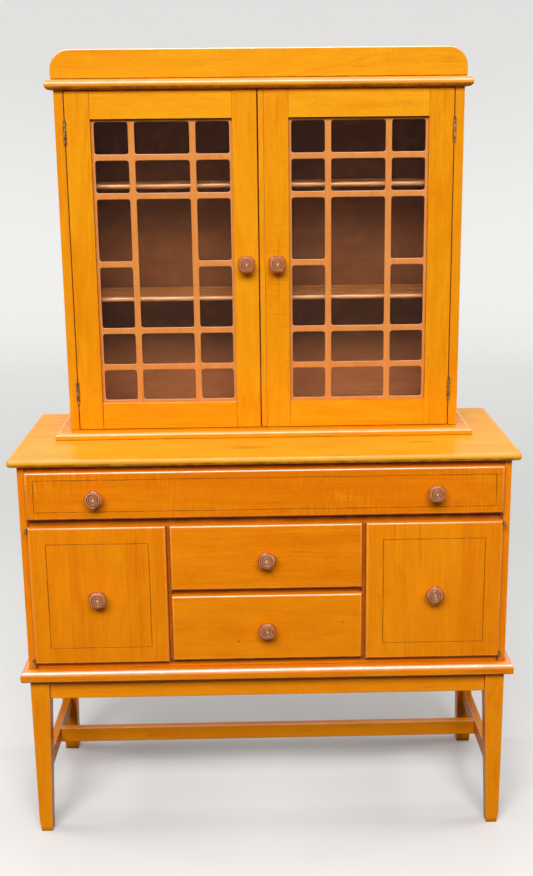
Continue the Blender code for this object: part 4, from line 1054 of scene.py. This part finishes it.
class HUTCH_OT_glazed_doors(bpy.types.Operator):
    """The two glazed doors: stiles, rails, fretwork, panes, the astragal and the butt hinges"""

    bl_idname = "hutch.glazed_doors"
    bl_label = "Glazed Doors"

    def execute(self, context):
        for hand, side in HANDS:
            body = f"upper_{hand}_door"
            door_members(f"{body}_frame", body, side)
            build_fretwork(f"{body}_grille", body)
            node, name = f"{body}_glass", f"{body}_glass_pane"
            finish_piece(name, plank(*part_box(node)), glass_material(name), body, "glass", node)
            for end in ENDS:
                build_butt_hinge(f"butt_hinge_{end}_{hand}", hand, side)
        board("astragal", "Z", body="upper_right_door", kind="amber", ease_width=0.0014)
        return {"FINISHED"}


class HUTCH_OT_knobs(bpy.types.Operator):
    """Eight carved knobs"""

    bl_idname = "hutch.knobs"
    bl_label = "Knobs"

    def execute(self, context):
        for node in KNOB_SHAPES:
            build_knob(node, frame["nodes"][node]["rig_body"])
        return {"FINISHED"}


class HUTCH_OT_stage(bpy.types.Operator):
    """A pale sweep, soft lamps and the camera"""

    bl_idname = "hutch.stage"
    bl_label = "Stage"

    def execute(self, context):
        self.build_sweep()
        self.hang_lamps(context.scene)
        self.place_camera(context.scene)
        context.scene.view_settings.view_transform = "Standard"
        return {"FINISHED"}

    def pale_rays(self, nodes):
        """One for the rays that show the pale stage: the camera's, and those in gloss and glass."""
        path = nodes.add("LightPath", {})
        return nodes.most(nodes.most(path["Is Camera Ray"], path["Is Glossy Ray"]), path["Is Transmission Ray"])

    def build_sweep(self):
        """A round floor that curves up into a wall on every side."""
        reach, bend, high = 7.5, 2.0, 5.5
        profile = [(0.0, 0.0), (reach - bend, 0.0)]
        for angle in (math.pi / 2 * step / 16 for step in range(1, 17)):
            profile.append((reach - bend + bend * math.sin(angle), bend - bend * math.cos(angle)))
        bm = bmesh.new()
        spun(bm, [*profile, (reach, high)], Vector(), 96)
        material, nodes, place = start_material("sweep paper")
        cloud = nodes.ramp(nodes.noise(place, (1.5, 1.5, 1.5)), 0.3, 0.7, 0.0, 0.03)
        tint = nodes.mix(cloud, paint("floor"), (0.6, 0.6, 0.6, 1.0))
        pale = self.pale_rays(nodes)
        far = nodes.ramp(nodes.vector("LENGTH", place), 2.2, reach, 0.0, 0.52)
        glow = nodes.mix(nodes.times(pale, far), (0.0, 0.0, 0.0, 1.0), paint("floor"))
        nodes.shade({"Base Color": nodes.mix(pale, (0.07, 0.07, 0.07, 1.0), tint), "Emission Color": glow})
        nodes.shade({"Emission Strength": 1.0, "Roughness": 0.9, "Specular IOR Level": 0.1})
        link_mesh("sweep", bm, material)

    def hang_lamps(self, scene):
        world = bpy.data.worlds.new("studio")
        world.use_nodes = True
        nodes = Nodes(world.node_tree)
        strength = nodes.ramp(self.pale_rays(nodes), 0.0, 1.0, 0.06, 0.72)
        nodes.feed(nodes.tree.nodes["Background"], {"Color": (0.99, 0.99, 1.0, 1.0), "Strength": strength})
        scene.world = world
        lamps = (
            ("overhead", (0.0, 0.1, 5.9), (0.0, 0.1, 0.0), (4.6, 3.0), 85.0),
            ("front", (-0.4, -4.4, 4.4), (0.0, -0.2, 0.9), (5.0, 2.2), 410.0),
            ("rear", (0.0, 5.6, 4.6), (0.0, 0.2, 0.9), (5.0, 2.0), 110.0),
            ("left", (-6.2, 0.9, 3.0), (0.0, 0.1, 0.9), (2.6, 2.0), 120.0),
            ("right", (6.2, 0.9, 3.0), (0.0, 0.1, 0.9), (2.6, 2.0), 120.0),
        )
        for name, where, target, span, power in lamps:
            lamp = bpy.data.lights.new(f"{name} softbox", "AREA")
            lamp.shape = "RECTANGLE"
            lamp.size, lamp.size_y = span
            lamp.energy = power
            holder = bpy.data.objects.new(f"{name} softbox", lamp)
            holder.location = where
            holder.rotation_euler = (Vector(target) - Vector(where)).to_track_quat("-Z", "Y").to_euler()
            scene.collection.objects.link(holder)

    def place_camera(self, scene):
        """The photograph's own viewpoint: a standing eye, a little left of the middle, looking down."""
        camera = bpy.data.cameras.new("camera")
        camera.sensor_width, camera.lens = 36.0, 48.47
        camera.shift_x, camera.shift_y = -0.0145, -0.01625
        holder = bpy.data.objects.new("camera", camera)
        eye = Matrix.Translation((-0.0125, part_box("countertop")[0].y - 2.4193, 1.5530))
        yaw, pitch, roll = math.radians(-1.026), math.radians(-13.659), math.radians(-0.600)
        turn = Matrix.Rotation(yaw, 4, "Z") @ Matrix.Rotation(math.pi / 2 + pitch, 4, "X")
        holder.matrix_world = eye @ (turn @ Matrix.Rotation(roll, 4, "Z"))
        scene.collection.objects.link(holder)
        scene.camera = holder


OPERATORS = (
    HUTCH_OT_leg_frame,
    HUTCH_OT_base_case,
    HUTCH_OT_countertop,
    HUTCH_OT_drawers,
    HUTCH_OT_base_doors,
    HUTCH_OT_china_case,
    HUTCH_OT_glazed_doors,
    HUTCH_OT_knobs,
    HUTCH_OT_stage,
)


class HUTCH_PT_panel(bpy.types.Panel):
    """Lists the hutch's groups of pieces, its sizes and its finishes"""

    bl_idname = "HUTCH_PT_panel"
    bl_label = "Maple Hutch"
    bl_space_type = "VIEW_3D"
    bl_region_type = "UI"
    bl_category = "Hutch"

    def draw(self, context):
        column = self.layout.column(align=True)
        for operator in OPERATORS:
            column.operator(operator.bl_idname)
        for title, group in (("Sizes", context.scene.hutch_sizes), ("Finishes", context.scene.hutch_finishes)):
            box = self.layout.box()
            box.label(text=title)
            for name in group.bl_rna.properties.keys():
                if name not in ("rna_type", "name"):
                    box.prop(group, name)


CLASSES = (HutchSizes, HutchFinishes, *OPERATORS, HUTCH_PT_panel)


def register():
    for cls in CLASSES:
        bpy.utils.register_class(cls)
    bpy.types.Scene.hutch_sizes = PointerProperty(type=HutchSizes)
    bpy.types.Scene.hutch_finishes = PointerProperty(type=HutchFinishes)


def unregister():
    del bpy.types.Scene.hutch_finishes
    del bpy.types.Scene.hutch_sizes
    for cls in reversed(CLASSES):
        bpy.utils.unregister_class(cls)


def main():
    register()
    for operator in OPERATORS:
        group, name = operator.bl_idname.split(".")
        getattr(getattr(bpy.ops, group), name)()


if __name__ == "__main__":
    main()
